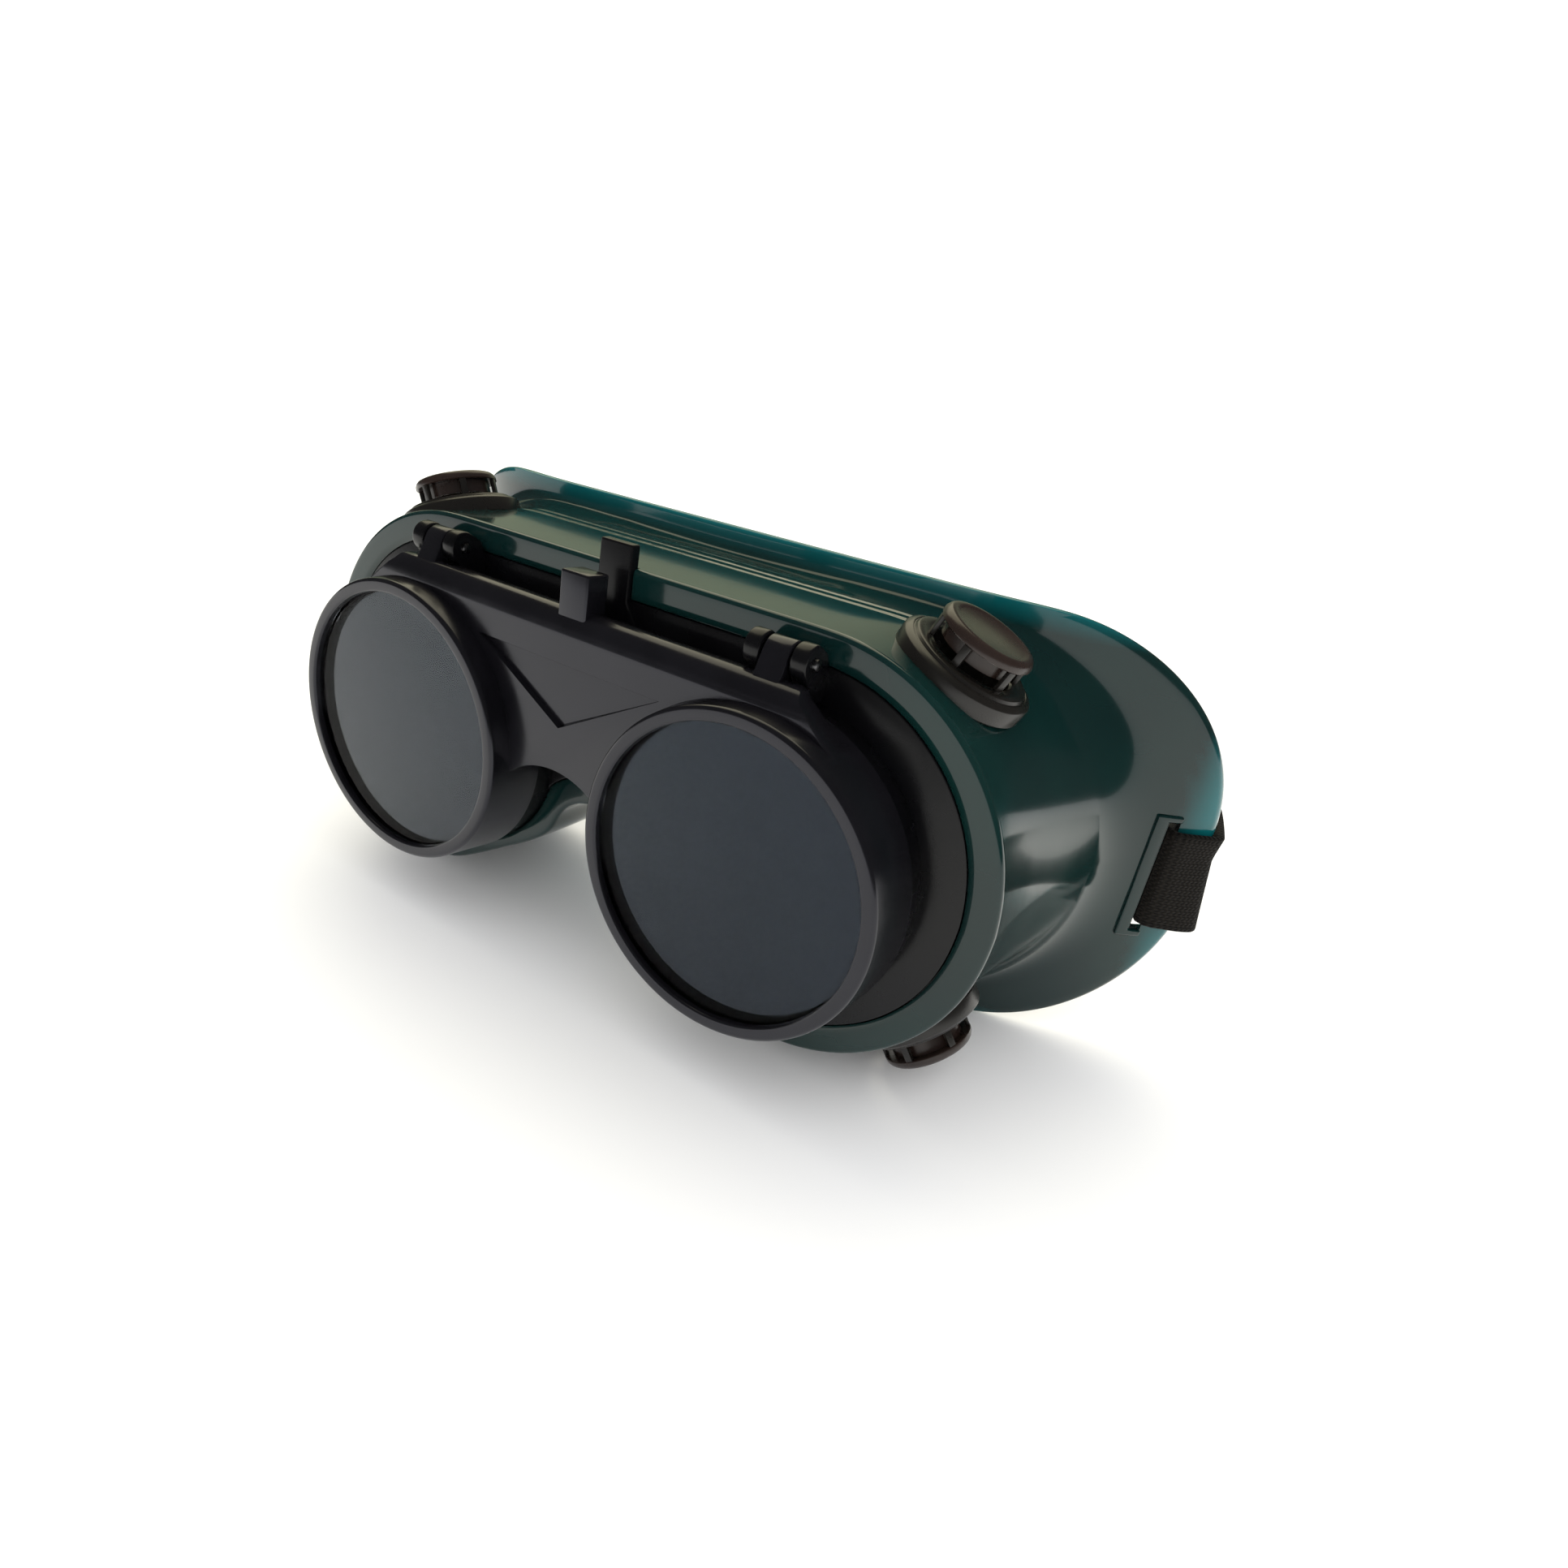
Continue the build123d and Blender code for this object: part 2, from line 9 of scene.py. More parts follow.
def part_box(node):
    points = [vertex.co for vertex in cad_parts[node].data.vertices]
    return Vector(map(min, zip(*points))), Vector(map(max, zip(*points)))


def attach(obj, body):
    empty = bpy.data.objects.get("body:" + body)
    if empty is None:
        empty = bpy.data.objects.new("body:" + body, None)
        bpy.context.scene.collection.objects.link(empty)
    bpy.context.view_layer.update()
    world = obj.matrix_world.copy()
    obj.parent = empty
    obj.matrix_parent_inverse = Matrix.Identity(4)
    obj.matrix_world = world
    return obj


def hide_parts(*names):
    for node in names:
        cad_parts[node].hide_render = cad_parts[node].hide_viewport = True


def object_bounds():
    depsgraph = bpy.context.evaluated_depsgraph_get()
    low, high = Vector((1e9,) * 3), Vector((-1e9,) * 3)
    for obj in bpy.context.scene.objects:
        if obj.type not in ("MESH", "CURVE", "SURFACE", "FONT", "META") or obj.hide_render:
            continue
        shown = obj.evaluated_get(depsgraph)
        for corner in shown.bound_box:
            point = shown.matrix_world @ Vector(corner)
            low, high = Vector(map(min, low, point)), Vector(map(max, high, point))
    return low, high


# Flip-front welding goggles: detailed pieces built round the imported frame.
# Shapes are worked out in millimetres and stored in metres.

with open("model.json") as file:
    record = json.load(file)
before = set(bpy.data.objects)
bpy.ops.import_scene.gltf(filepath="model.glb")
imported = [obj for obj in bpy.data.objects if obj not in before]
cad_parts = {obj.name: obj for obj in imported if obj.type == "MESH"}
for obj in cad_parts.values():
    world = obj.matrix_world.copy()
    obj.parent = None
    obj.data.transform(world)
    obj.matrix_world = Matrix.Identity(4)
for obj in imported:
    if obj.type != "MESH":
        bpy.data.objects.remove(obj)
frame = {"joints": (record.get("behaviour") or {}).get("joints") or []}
CAD_LOW, CAD_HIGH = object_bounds()

MM = 0.001
SIDES = {"left": 1, "right": -1}
BODY = "goggle_body"
FLIP = "flip_front"


def box_mm(node):
    low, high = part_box(node)
    return low / MM, high / MM


def middle(node):
    low, high = box_mm(node)
    return (low + high) / 2


# ---- driving dimensions, from the frame where it holds them ----
HALF_SPACING = middle("cover_lens_left").x
LENS_R = (box_mm("cover_lens_left")[1].x - box_mm("cover_lens_left")[0].x) / 2
POCKET_R = LENS_R + 0.15
BORE_R = POCKET_R + 0.7         # hole in a plate that a lens cup then fills
CUT_OVER = 1.0                  # how far a cutter reaches past what it cuts
HINGE = Vector(next(j for j in frame["joints"] if j["name"] == "flip_hinge")["pos_m"]) / MM
CUP_LOW, CUP_HIGH = box_mm("cup_shell")
CARRIER_LOW, CARRIER_HIGH = box_mm("lens_carrier")

FLIP_RIM_R = 27.0
FLIP_CUP_BACK_R = 27.8
FLIP_CUP_BACK_Y = 11.0
FLIP_SIGHT_R = 24.5
COVER_SEAT_Y = box_mm("cover_lens_left")[0].y
PLATE_Y = (4.0, 8.6)
PLATE_TOP_Z = 31.2
PLATE_TOP_HALF_W = 44.0
PLATE_CROWN = (3.2, 4.2)        # how far the rounded top edge reaches back and down
ARCH_R = 17.0
ARCH_TOP_Z = 3.0
ARCH_HALF_W = 13.0
FIELD = dict(half_w=20.0, top=22.2, apex=11.3, depth=1.0)
LUG_X = 37.2
LUG_W = 4.6
LUG_R = 2.7
LUG_BORE_R = 1.05
PIN_R = 0.98
EAR_T = 2.8
EAR_R = 2.9
EAR_GAP = 0.4
THUMB_W = 6.0
THUMB_Y = (5.0, 10.0)
THUMB_Z = (26.0, 37.6)
TONGUE_W = 7.0
TONGUE_FOOT_HALF_W = 6.5
TONGUE_Y = (14.2, 16.4)
TONGUE_GAP = 0.2

PANEL_Y = (15.2, 17.2)
PANEL_INSET = 5.35
REAR_FLANGE_INSET = 2.9
REAR_FLANGE_Y = (17.0, 18.8)
CARRIER_CUP_R = 27.3
CARRIER_CUP_BACK_Y = 19.8
CARRIER_SIGHT_R = 24.0

CUP_FRONT_Y = CUP_LOW.y
CUP_WALL = 2.0
LIP_T = 2.0
LIP_INSET = 5.2
# The front rim's rounded edge, from its flat to the outer wall: inset and depth.
RIM_EDGE = ((4.0, 0.0), (3.0, 0.0), (1.8, 0.0), (0.85, 0.01), (0.6, 0.05), (0.38, 0.14),
            (0.2, 0.3), (0.06, 0.55), (0.0, 0.85))
RIDGES_Y = (37.4, 40.8, 44.2)
RIDGE_HEIGHT = 0.22
RIDGE_SPREAD = 0.5
RIDGE_HALF_W = 50.0
RIDGE_FADE = 6.0
RIDGE_LOW_Z = 20.0
OUTLINE_KEYS = ("half_w", "top", "bottom", "r_top", "r_bottom", "notch_x", "notch_z", "apex")
CUP_STATIONS = {
    CUP_FRONT_Y: (77.6, 38.4, -35.8, 36.6, 36.6, 10.5, -18.0, -7.2),
    45.0: (80.8, 38.7, -35.5, 36.4, 36.4, 11.5, -18.6, -5.4),
    82.0: (94.5, 39.6, -33.5, 32.0, 31.0, 17.0, -20.0, 0.0),
}
FLANGE_OUTLINE = (CUP_HIGH.x, CUP_HIGH.z, CUP_LOW.z, 36.0, 33.0, 11.5, -23.0, -5.0)
FLANGE_T = 2.0
FLANGE_EDGE_R = 0.8
FLANGE_NARROW_W = 2.5
FILLET_REACH = (2.2, 8.0)
FACE_Y = 50.0
FACE_FLAT_HALF_W = 45.0
FACE_WRAP_R = 77.0
FLARE_ANGLE = math.radians(93.0)
SLOT_X = 92.3
SLOT_REACH = (-0.3, 1.5)        # inner and outer side of the slot, from SLOT_X
SLOT_HALF_H = 11.6
SLOT_MID_Z = -1.0
BEAD_X = (-3.2, 2.0)            # from SLOT_X
BEAD_HOLLOW_X = (-0.75, 5.0)
BEAD_HALF_H = 12.9
BEAD_HEIGHT = 0.55
BEAD_SINK = 1.2

VENT_ANGLES = {"top": (66.0, 31.3), "bottom": (-52.0, 31.2)}
VENT_ARC = (42.8, 1.5)
VENT_SEAT_R = 36.9
VENT_HOLE_R = 8.5
VENT_POSTS = 6
POST_R = (7.35, 8.15)
POST_HALF_W = 0.65
POST_Z = (1.3, 5.35)

RING_INNER_R = 22.6
THREAD_PITCH = 0.55
THREAD_DEPTH = 0.18
NOTCH_AT_R = 23.4
NOTCH_R = 1.1

BAND_T = 1.5
BAND_H = 20.0
BAND_BACK_Z = -25.4
BAND_SLOPE = (88.0, 150.0)      # depths between which the band drops to its back
BAND_EDGE_R = 0.55
FLARE_SLOPE = 0.13
FLARE_X = (93.5, 98.5)
FLARE_Y = (85.0, 120.0)
STITCH_BOX_Y = (92.0, 104.0)
STITCH_BOX_V = 8.6
BUCKLE_WINDOW = (2.2, 10.4)
RIB_PITCH = 1.1
PICK_PITCH = 0.9

CAMERA_TURN, CAMERA_RISE, CAMERA_ROLL = (math.radians(a) for a in (27.59, 22.81, 10.83))
CAMERA_AT = Vector((97.96, -98.16, 65.99))
CAMERA_LENS = 19.82
CAMERA_SENSOR = 36.0
FLOOR_HALF_W = 2500.0


# -------------------- mesh helpers
def new_object(name, verts, faces):
    mesh = bpy.data.meshes.new(name)
    mesh.from_pydata([tuple(c * MM for c in v) for v in verts], [], faces)
    mesh.validate()
    obj = bpy.data.objects.new(name, mesh)
    bpy.context.scene.collection.objects.link(obj)
    return obj


def loft(name, loops, ring=False):
    """Quads between loops of equal length, closed into a ring or with both ends capped."""
    count = len(loops[0])
    verts = [p for loop in loops for p in loop]
    faces = []
    for k in range(len(loops) if ring else len(loops) - 1):
        a, b = k * count, (k + 1) % len(loops) * count
        for i in range(count):
            j = (i + 1) % count
            faces.append((a + i, a + j, b + j, b + i))
    if not ring:
        faces.append(tuple(range(count))[::-1])
        faces.append(tuple(range(len(verts) - count, len(verts))))
    return fix_normals(new_object(name, verts, faces))


def fix_normals(obj):
    bm = bmesh.new()
    bm.from_mesh(obj.data)
    bmesh.ops.recalc_face_normals(bm, faces=bm.faces)
    bm.to_mesh(obj.data)
    bm.free()
    return obj


def revolve(name, profile, matrix, segments=128, solid=False):
    """Spin a (radius, height) profile about matrix's Z. A solid one starts and ends on the axis."""
    loops = []
    for radius, height in profile:
        loop = []
        for i in range(segments):
            turn = 2 * math.pi * i / segments
            loop.append(matrix @ Vector((radius * math.cos(turn), radius * math.sin(turn), height)))
        loops.append(loop)
    return loft(name, loops, ring=not solid)


def extrude_outline(name, sketch, matrix, low, high):
    """A prism of a flat outline, from low to high along matrix's Z."""
    loops = [[matrix @ Vector((u, v, h)) for u, v in sketch] for h in (low, high)]
    return loft(name, loops)


def apply_modifiers(obj):
    bpy.context.view_layer.update()
    evaluated = obj.evaluated_get(bpy.context.evaluated_depsgraph_get())
    mesh = bpy.data.meshes.new_from_object(evaluated)
    obj.modifiers.clear()
    obj.data = mesh
    return obj


def bevel(obj, width, segments=3, angle=35.0):
    modifier = obj.modifiers.new("bevel", "BEVEL")
    modifier.width = width * MM
    modifier.segments = segments
    modifier.limit_method = "ANGLE"
    modifier.angle_limit = math.radians(angle)
    modifier.use_clamp_overlap = True
    return apply_modifiers(obj)


def combine(base, others, operation):
    """Boolean each of others into base, then delete them."""
    for other in others:
        modifier = base.modifiers.new("combine", "BOOLEAN")
        modifier.operation = operation
        modifier.solver = "EXACT"
        modifier.object = other
        apply_modifiers(base)
        bpy.data.objects.remove(other)
    return base


def unite(base, *others):
    return combine(base, others, "UNION")


def cut(base, *others):
    return combine(base, others, "DIFFERENCE")


def join(name, objects):
    """One object holding several closed shells."""
    verts, faces = [], []
    for obj in objects:
        start = len(verts)
        verts += [v.co / MM for v in obj.data.vertices]
        faces += [tuple(start + i for i in p.vertices) for p in obj.data.polygons]
        bpy.data.objects.remove(obj)
    return new_object(name, verts, faces)


def smooth(obj, angle=32.0):
    for polygon in obj.data.polygons:
        polygon.use_smooth = True
    obj.data.set_sharp_from_angle(angle=math.radians(angle))
    return obj


def place(obj, body, material, slot, *nodes):
    """Finish a piece: its material, the body it rides and the nodes it stands for, which it hides. The
    slot argument is not used.
    """
    obj.data.materials.clear()
    obj.data.materials.append(material)
    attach(obj, body)
    if nodes:
        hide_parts(*nodes)
    return obj


# Places whose Z axis is the direction a profile is spun about or a sketch is extruded along.
def lens_axis(side):
    """Spin axis of one lens: heights run back along +Y."""
    centre = Matrix.Translation((SIDES[side] * HALF_SPACING, 0, 0))
    return centre @ Matrix.Rotation(math.radians(-90), 4, "X")


# A front view is an (x, z) sketch with its depth along +Y, a side view a (y, z) one along +X.
FRONT_VIEW = Matrix(((1, 0, 0, 0), (0, 0, 1, 0), (0, 1, 0, 0), (0, 0, 0, 1)))
SIDE_VIEW = Matrix(((0, 0, 1, 0), (1, 0, 0, 0), (0, 1, 0, 0), (0, 0, 0, 1)))


def arc(centre, radius, start, end, count):
    """Points of an arc in degrees, both ends included."""
    points = []
    for i in range(count + 1):
        turn = math.radians(start + (end - start) * i / count)
        points.append((centre[0] + radius * math.cos(turn), centre[1] + radius * math.sin(turn)))
    return points


def rectangle(u, v):
    return [(u[0], v[0]), (u[1], v[0]), (u[1], v[1]), (u[0], v[1])]


def cylinder(name, matrix, radius, low, high, segments=96):
    circle = arc((0, 0), radius, 0, 360 - 360 / segments, segments - 1)
    return extrude_outline(name, circle, matrix, low, high)


def box(name, x, y, z):
    return extrude_outline(name, rectangle(x, z), FRONT_VIEW, *y)


def ease(value, start, end):
    """0 before start, 1 after end and smooth between."""
    share = max(0.0, min(1.0, (value - start) / (end - start)))
    return share * share * (3 - 2 * share)


def between(a, b, share):
    return tuple(p + (q - p) * share for p, q in zip(a, b))


# -------------------- cup outline
TOP_N, CORNER_N, SIDE_N, FLARE_N, SLOPE_N, NOTCH_N = 30, 44, 12, 44, 14, 16


def span(a, b, count):
    """Points from a towards b, without b."""
    return [(a[0] + (b[0] - a[0]) * i / count, a[1] + (b[1] - a[1]) * i / count) for i in range(count)]


def half_outline(dims, inset):
    """Top centre round the left side to the notch's apex, without the apex."""
    half_w, top, bottom, r_top, r_bottom, notch_x, notch_z, apex = dims
    w, t, b = half_w - inset, top - inset, bottom + inset
    rt, rb = r_top - inset, r_bottom - inset
    nx, nz, na = notch_x + inset, notch_z + 0.3 * inset, apex + inset
    sweep = math.degrees(FLARE_ANGLE)
    points = span((0, t), (w - rt, t), TOP_N)
    points += arc((w - rt, t - rt), rt, 90, 0, CORNER_N)[:-1]
    points += span((w, t - rt), (w, b + rb), SIDE_N)
    points += arc((w - rb, b + rb), rb, 0, -sweep, FLARE_N)[:-1]
    foot = (w - rb + rb * math.cos(FLARE_ANGLE), b + rb - rb * math.sin(FLARE_ANGLE))
    points += span(foot, (nx, nz), SLOPE_N)
    drop = na - nz
    notch_r = (nx * nx + drop * drop) / (2 * drop)
    low = math.degrees(math.asin((nz - na + notch_r) / notch_r))
    return points + arc((0, na - notch_r), notch_r, low, 90, NOTCH_N)[:-1], (0, na)


def relax(points, passes=10):
    """Even out curvature where lines meet arcs."""
    for _ in range(passes):
        count = len(points)
        points = [((points[i - 1][0] + 2 * p[0] + points[(i + 1) % count][0]) / 4,
                   (points[i - 1][1] + 2 * p[1] + points[(i + 1) % count][1]) / 4)
                  for i, p in enumerate(points)]
    return points


def outline(dims, inset=0.0):
    """Closed front-view outline with the same number of points whatever its dimensions."""
    left, apex = half_outline(dims, inset)
    right = [(-x, z) for x, z in left[:0:-1]]
    return relax(left + [apex] + right)


def dims_at(y):
    """Outline dimensions at depth y, on a smooth curve through the three stations."""
    ys = list(CUP_STATIONS)
    values = [0.0] * len(OUTLINE_KEYS)
    for yk in ys:
        weight = math.prod((y - yo) / (yk - yo) for yo in ys if yo != yk)
        values = [v + weight * d for v, d in zip(values, CUP_STATIONS[yk])]
    return values


def face_y(x, setback=0.0):
    """Depth of the face-side surface: flat in the middle, wrapping back at the temples."""
    over = max(0.0, abs(x) - FACE_FLAT_HALF_W)
    radius = FACE_WRAP_R - setback
    return FACE_Y + setback + radius - math.sqrt(max(0.0, radius * radius - over * over))


def clear_of_lens_cups(points, radius):
    """Push points out of both lens circles."""
    moved = []
    for x, z in points:
        for s in SIDES.values():
            dx = x - s * HALF_SPACING
            reach = math.hypot(dx, z)
            if 0 < reach < radius:
                x, z = s * HALF_SPACING + dx * radius / reach, z * radius / reach
        moved.append((x, z))
    return moved


# -------------------- soft cup
WALL_ROWS = 72
INNER_ROWS = 16
OUTLINES = {}


def outline_at(y, inset):
    """The cup's outline at depth y, kept once it is worked out."""
    key = (round(y, 3), inset)
    if key not in OUTLINES:
        OUTLINES[key] = outline(dims_at(y), inset)
    return OUTLINES[key]


def point_at(i, y, inset):
    """Outline point i at any depth, between tabled depths 1 mm apart."""
    low = math.floor(y)
    return between(outline_at(low, inset)[i], outline_at(low + 1, inset)[i], y - low)


def wall_end(i, inset, setback):
    """Depth at which the wall's line i meets the face-side surface."""
    y = FACE_Y
    for _ in range(12):
        y = 0.5 * y + 0.5 * face_y(point_at(i, y, inset)[0], setback)
    return y


def ridge(x, y, z):
    """Low moulded ridges across the top, just in front of the flange."""
    if z < RIDGE_LOW_Z:
        return 0.0
    fade = max(0.0, min(1.0, (RIDGE_HALF_W - abs(x)) / RIDGE_FADE))
    return fade * sum(RIDGE_HEIGHT * math.exp(-((y - at) / RIDGE_SPREAD) ** 2) for at in RIDGES_Y)


def wall_point(i, y, inset=0.0):
    x, z = point_at(i, y, inset)
    return (x, y, z + (ridge(x, y, z) if inset == 0 else 0.0))


def rim_loops():
    """Front rim from the lip's inner back edge round to the start of the outer wall."""
    front = CUP_FRONT_Y
    inner = clear_of_lens_cups(outline_at(front, LIP_INSET), CARRIER_CUP_R + 0.15)
    softened = clear_of_lens_cups(outline_at(front, LIP_INSET - 0.4), CARRIER_CUP_R + 0.5)
    rows = [[(x, front + depth, z) for x, z in inner] for depth in (LIP_T, 0.35)]
    rows.append([(x, front + 0.06, z) for x, z in softened])
    for inset, depth in RIM_EDGE:
        clear = clear_of_lens_cups(outline_at(front, inset), CARRIER_CUP_R + 0.8)
        rows.append([(x, front + depth, z) for x, z in clear])
    return rows


def flange_widths(corners, flange):
    return [max(0.3, math.hypot(f[0] - c[0], f[1] - c[2])) for f, c in zip(flange, corners)]


def fillet_sizes(widths):
    """Reach of the curve from the wall into the flange: larger where the flange is wide."""
    low, high = FILLET_REACH
    sizes = [max(low, min(high, 0.5 * w)) for w in widths]
    for _ in range(12):
        sizes = [(sizes[i - 1] + 2 * f + sizes[(i + 1) % len(sizes)]) / 4 for i, f in enumerate(sizes)]
    return sizes


def face_share(part, width, fillet):
    """How far across the flange a point lies that is part of the way from the fillet to the edge."""
    if width <= FLANGE_NARROW_W:
        return 0.5 + 0.4 * part
    start = min(0.5, fillet / width)
    return start + part * (1 - FLANGE_EDGE_R / width - start)


def flange_loops(ends, flange):
    """From the outer wall out along the flange's front, round its edge and back in."""
    rows = []
    corners = [wall_point(i, y) for i, y in enumerate(ends)]
    widths = flange_widths(corners, flange)
    fillets = fillet_sizes(widths)

    def on_face(i, share, setback):
        x = corners[i][0] + (flange[i][0] - corners[i][0]) * share
        z = corners[i][2] + (flange[i][1] - corners[i][2]) * share
        return (x, face_y(x, setback), z)

    for step in range(1, 11):
        t = step / 10
        row = []
        for i, y in enumerate(ends):
            start = wall_point(i, y - fillets[i])
            end = on_face(i, min(0.5, fillets[i] / widths[i]), 0.0)
            row.append(between(between(start, corners[i], t), between(corners[i], end, t), t))
        rows.append(row)
    for part in (0.24, 0.56, 0.8):
        rows.append([on_face(i, face_share(part, w, fillets[i]), 0.0) for i, w in enumerate(widths)])
    for turn in range(0, 181, 30):
        short = FLANGE_EDGE_R - FLANGE_EDGE_R * math.sin(math.radians(turn))
        back = (1 - math.cos(math.radians(turn))) / 2 * FLANGE_T
        rows.append([on_face(i, 1 - short / max(w, 2.0), back) for i, w in enumerate(widths)])
    for share in (0.6, 0.25):
        rows.append([on_face(i, share, FLANGE_T) for i in range(len(ends))])
    return rows


def make_cup_wall():
    """The whole cup as one closed surface: rim, outer wall, flange, inner wall, lip."""
    count = len(outline_at(CUP_FRONT_Y, 0.0))
    ends = [wall_end(i, 0.0, 0.0) for i in range(count)]
    inner_ends = [wall_end(i, CUP_WALL, FLANGE_T) for i in range(count)]
    flange = outline(FLANGE_OUTLINE)
    rows = rim_loops()
    start = CUP_FRONT_Y + RIM_EDGE[-1][1]
    fillets = fillet_sizes(flange_widths([wall_point(i, y) for i, y in enumerate(ends)], flange))
    for row in range(1, WALL_ROWS + 1):
        share = row / WALL_ROWS
        reach = [(y - fillet - start) * share for y, fillet in zip(ends, fillets)]
        rows.append([wall_point(i, start + along) for i, along in enumerate(reach)])
    rows += flange_loops(ends, flange)
    low = CUP_FRONT_Y + LIP_T
    for row in range(INNER_ROWS, -1, -1):
        share = row / INNER_ROWS
        rows.append([wall_point(i, low + (y - low) * share, CUP_WALL) for i, y in enumerate(inner_ends)])
    return loft("cup_shell_body", rows, ring=True)


def vent_place(level, side):
    """Seat of a vent: Z points out of the cup, X runs back."""
    angle, y = VENT_ANGLES[level]
    s = SIDES[side]
    turn = math.radians(angle)
    out = Vector((s * math.cos(turn), 0, math.sin(turn)))
    seat = Vector((s * VENT_ARC[0] + out.x * VENT_SEAT_R, y, VENT_ARC[1] + out.z * VENT_SEAT_R))
    x_axis = Vector((0, 1, 0))
    y_axis = out.cross(x_axis)
    basis = Matrix((x_axis, y_axis, out)).transposed()
    return Matrix.Translation(seat) @ basis.to_4x4()


def vent_boss(level, side):
    """Raised round seat inside a vent's flange."""
    profile = [(0, -4.5), (11.0, -4.5), (10.7, -1.6), (10.6, -0.3), (10.5, -0.08), (10.3, 0), (0, 0)]
    return revolve("boss", profile, vent_place(level, side), segments=96, solid=True)


def rounded_rect(half_w, half_h, radius, count=5):
    points = []
    for sx, sy, start in ((1, 1, 0), (-1, 1, 90), (-1, -1, 180), (1, -1, 270)):
        points += arc((sx * (half_w - radius), sy * (half_h - radius)), radius, start, start + 90, count)
    return points


def slot_place(side):
    """A headband slot on the flange's face: X points outwards across it, Z out of the face."""
    s = SIDES[side]
    lean = math.asin((SLOT_X - FACE_FLAT_HALF_W) / FACE_WRAP_R)
    outward = Vector((s * math.cos(lean), math.sin(lean), 0))
    face = Vector((s * math.sin(lean), -math.cos(lean), 0))
    basis = Matrix((outward, face.cross(outward), face)).transposed()
    return Matrix.Translation((s * SLOT_X, face_y(SLOT_X), SLOT_MID_Z)) @ basis.to_4x4()


def slot_bead(side):
    """Raised bead along a slot's inner side and round its two ends."""
    at = slot_place(side)
    block = rectangle(BEAD_X, (-BEAD_HALF_H, BEAD_HALF_H))
    bead = extrude_outline("slot_bead_" + side, block, at, -BEAD_SINK, BEAD_HEIGHT)
    hollow = rectangle(BEAD_HOLLOW_X, (-SLOT_HALF_H, SLOT_HALF_H))
    cut(bead, extrude_outline("hollow", hollow, at, -BEAD_SINK - CUT_OVER, BEAD_HEIGHT + CUT_OVER))
    return bevel(bead, 0.35, 3)


def slot_cutter(s):
    inner, outer = sorted(s * (SLOT_X + reach) for reach in SLOT_REACH)
    return box("slot", (inner, outer), (55, 80), (SLOT_MID_Z - SLOT_HALF_H, SLOT_MID_Z + SLOT_HALF_H))


def tongue_gap():
    """Opening in the rim and lip for the carrier's tongue."""
    half = TONGUE_W / 2 + TONGUE_GAP
    top = CUP_STATIONS[CUP_FRONT_Y][1]
    depth = (CUP_FRONT_Y - CUT_OVER, TONGUE_Y[1] + TONGUE_GAP)
    return box("gap", (-half, half), depth, (top - LIP_INSET - CUT_OVER, top + 2 * CUT_OVER))


def make_cup_shell(material):
    shell = make_cup_wall()
    places = [(level, side) for level in VENT_ANGLES for side in SIDES]
    unite(shell, *[vent_boss(*p) for p in places])
    cut(shell, *[cylinder("hole", vent_place(*p), VENT_HOLE_R, -12, 6) for p in places])
    cut(shell, *[slot_cutter(s) for s in SIDES.values()], tongue_gap())
    paint_glow_mask(shell)
    place(smooth(shell, 38), BODY, material, "cup_pvc", "cup_shell")
    for side in SIDES:
        place(smooth(slot_bead(side)), BODY, material, "cup_pvc")


def paint_glow_mask(obj):
    """Mask of painted light: where light coming through the translucent wall is painted in as brighter
    colour, along the flange's edge and above the nose.
    """
    layer = obj.data.attributes.new("painted_glow", "FLOAT", "POINT")
    values = []
    for v in obj.data.vertices:
        x, y, z = v.co / MM
        on_flange = y > face_y(min(abs(x), CUP_HIGH.x)) - 1.5
        past = max(abs(x) - 93.0, z - 40.0, -z - 36.0) if on_flange else 0.0
        # painted glow above the nose: light through the PVC painted in as colour
        nose = 0.5 * ease(y, 30.0, 42.0) * ease(-abs(x), -34.0, -24.0) * ease(-z, 0.0, 8.0)
        values.append(max(0.0, nose, min(1.0, past / 5.0)))
    layer.data.foreach_set("value", values)


# -------------------- flip-up front
def tangent_foot():
    """Where the plate's slanting side touches the lens cup."""
    over = PLATE_TOP_HALF_W - HALF_SPACING
    reach = math.hypot(over, PLATE_TOP_Z)
    lean = math.atan2(PLATE_TOP_Z, over) - math.acos(FLIP_RIM_R / reach)
    return HALF_SPACING + FLIP_RIM_R * math.cos(lean), FLIP_RIM_R * math.sin(lean)


def plate_outline():
    """Bridge plate: straight top with rounded ends, arched over the nose."""
    tx, tz = tangent_foot()
    right = [(PLATE_TOP_HALF_W - 1.6, PLATE_TOP_Z), (PLATE_TOP_HALF_W - 0.6, PLATE_TOP_Z - 0.4),
             (PLATE_TOP_HALF_W, PLATE_TOP_Z - 1.4), (tx, tz), (HALF_SPACING, 0)]
    reach = math.degrees(math.acos(ARCH_HALF_W / ARCH_R))
    arch = arc((0, ARCH_TOP_Z - ARCH_R), ARCH_R, reach, 180 - reach, 40)
    left = [(-x, z) for x, z in reversed(right)]
    return right + arch + left


def crown_cutter():
    """What is taken off the plate's top front edge to leave it round."""
    back, down = PLATE_CROWN
    front, base = PLATE_Y[0], PLATE_TOP_Z - down
    turns = [math.radians(a) for a in range(0, 91, 6)]
    curve = [(front + back - back * math.sin(t), base + down * math.cos(t)) for t in turns]
    above = PLATE_TOP_Z + CUT_OVER
    waste = [(front - CUT_OVER, base), (front - CUT_OVER, above), (front + back, above)]
    return extrude_outline("crown", curve + waste, SIDE_VIEW, CARRIER_LOW.x, CARRIER_HIGH.x)


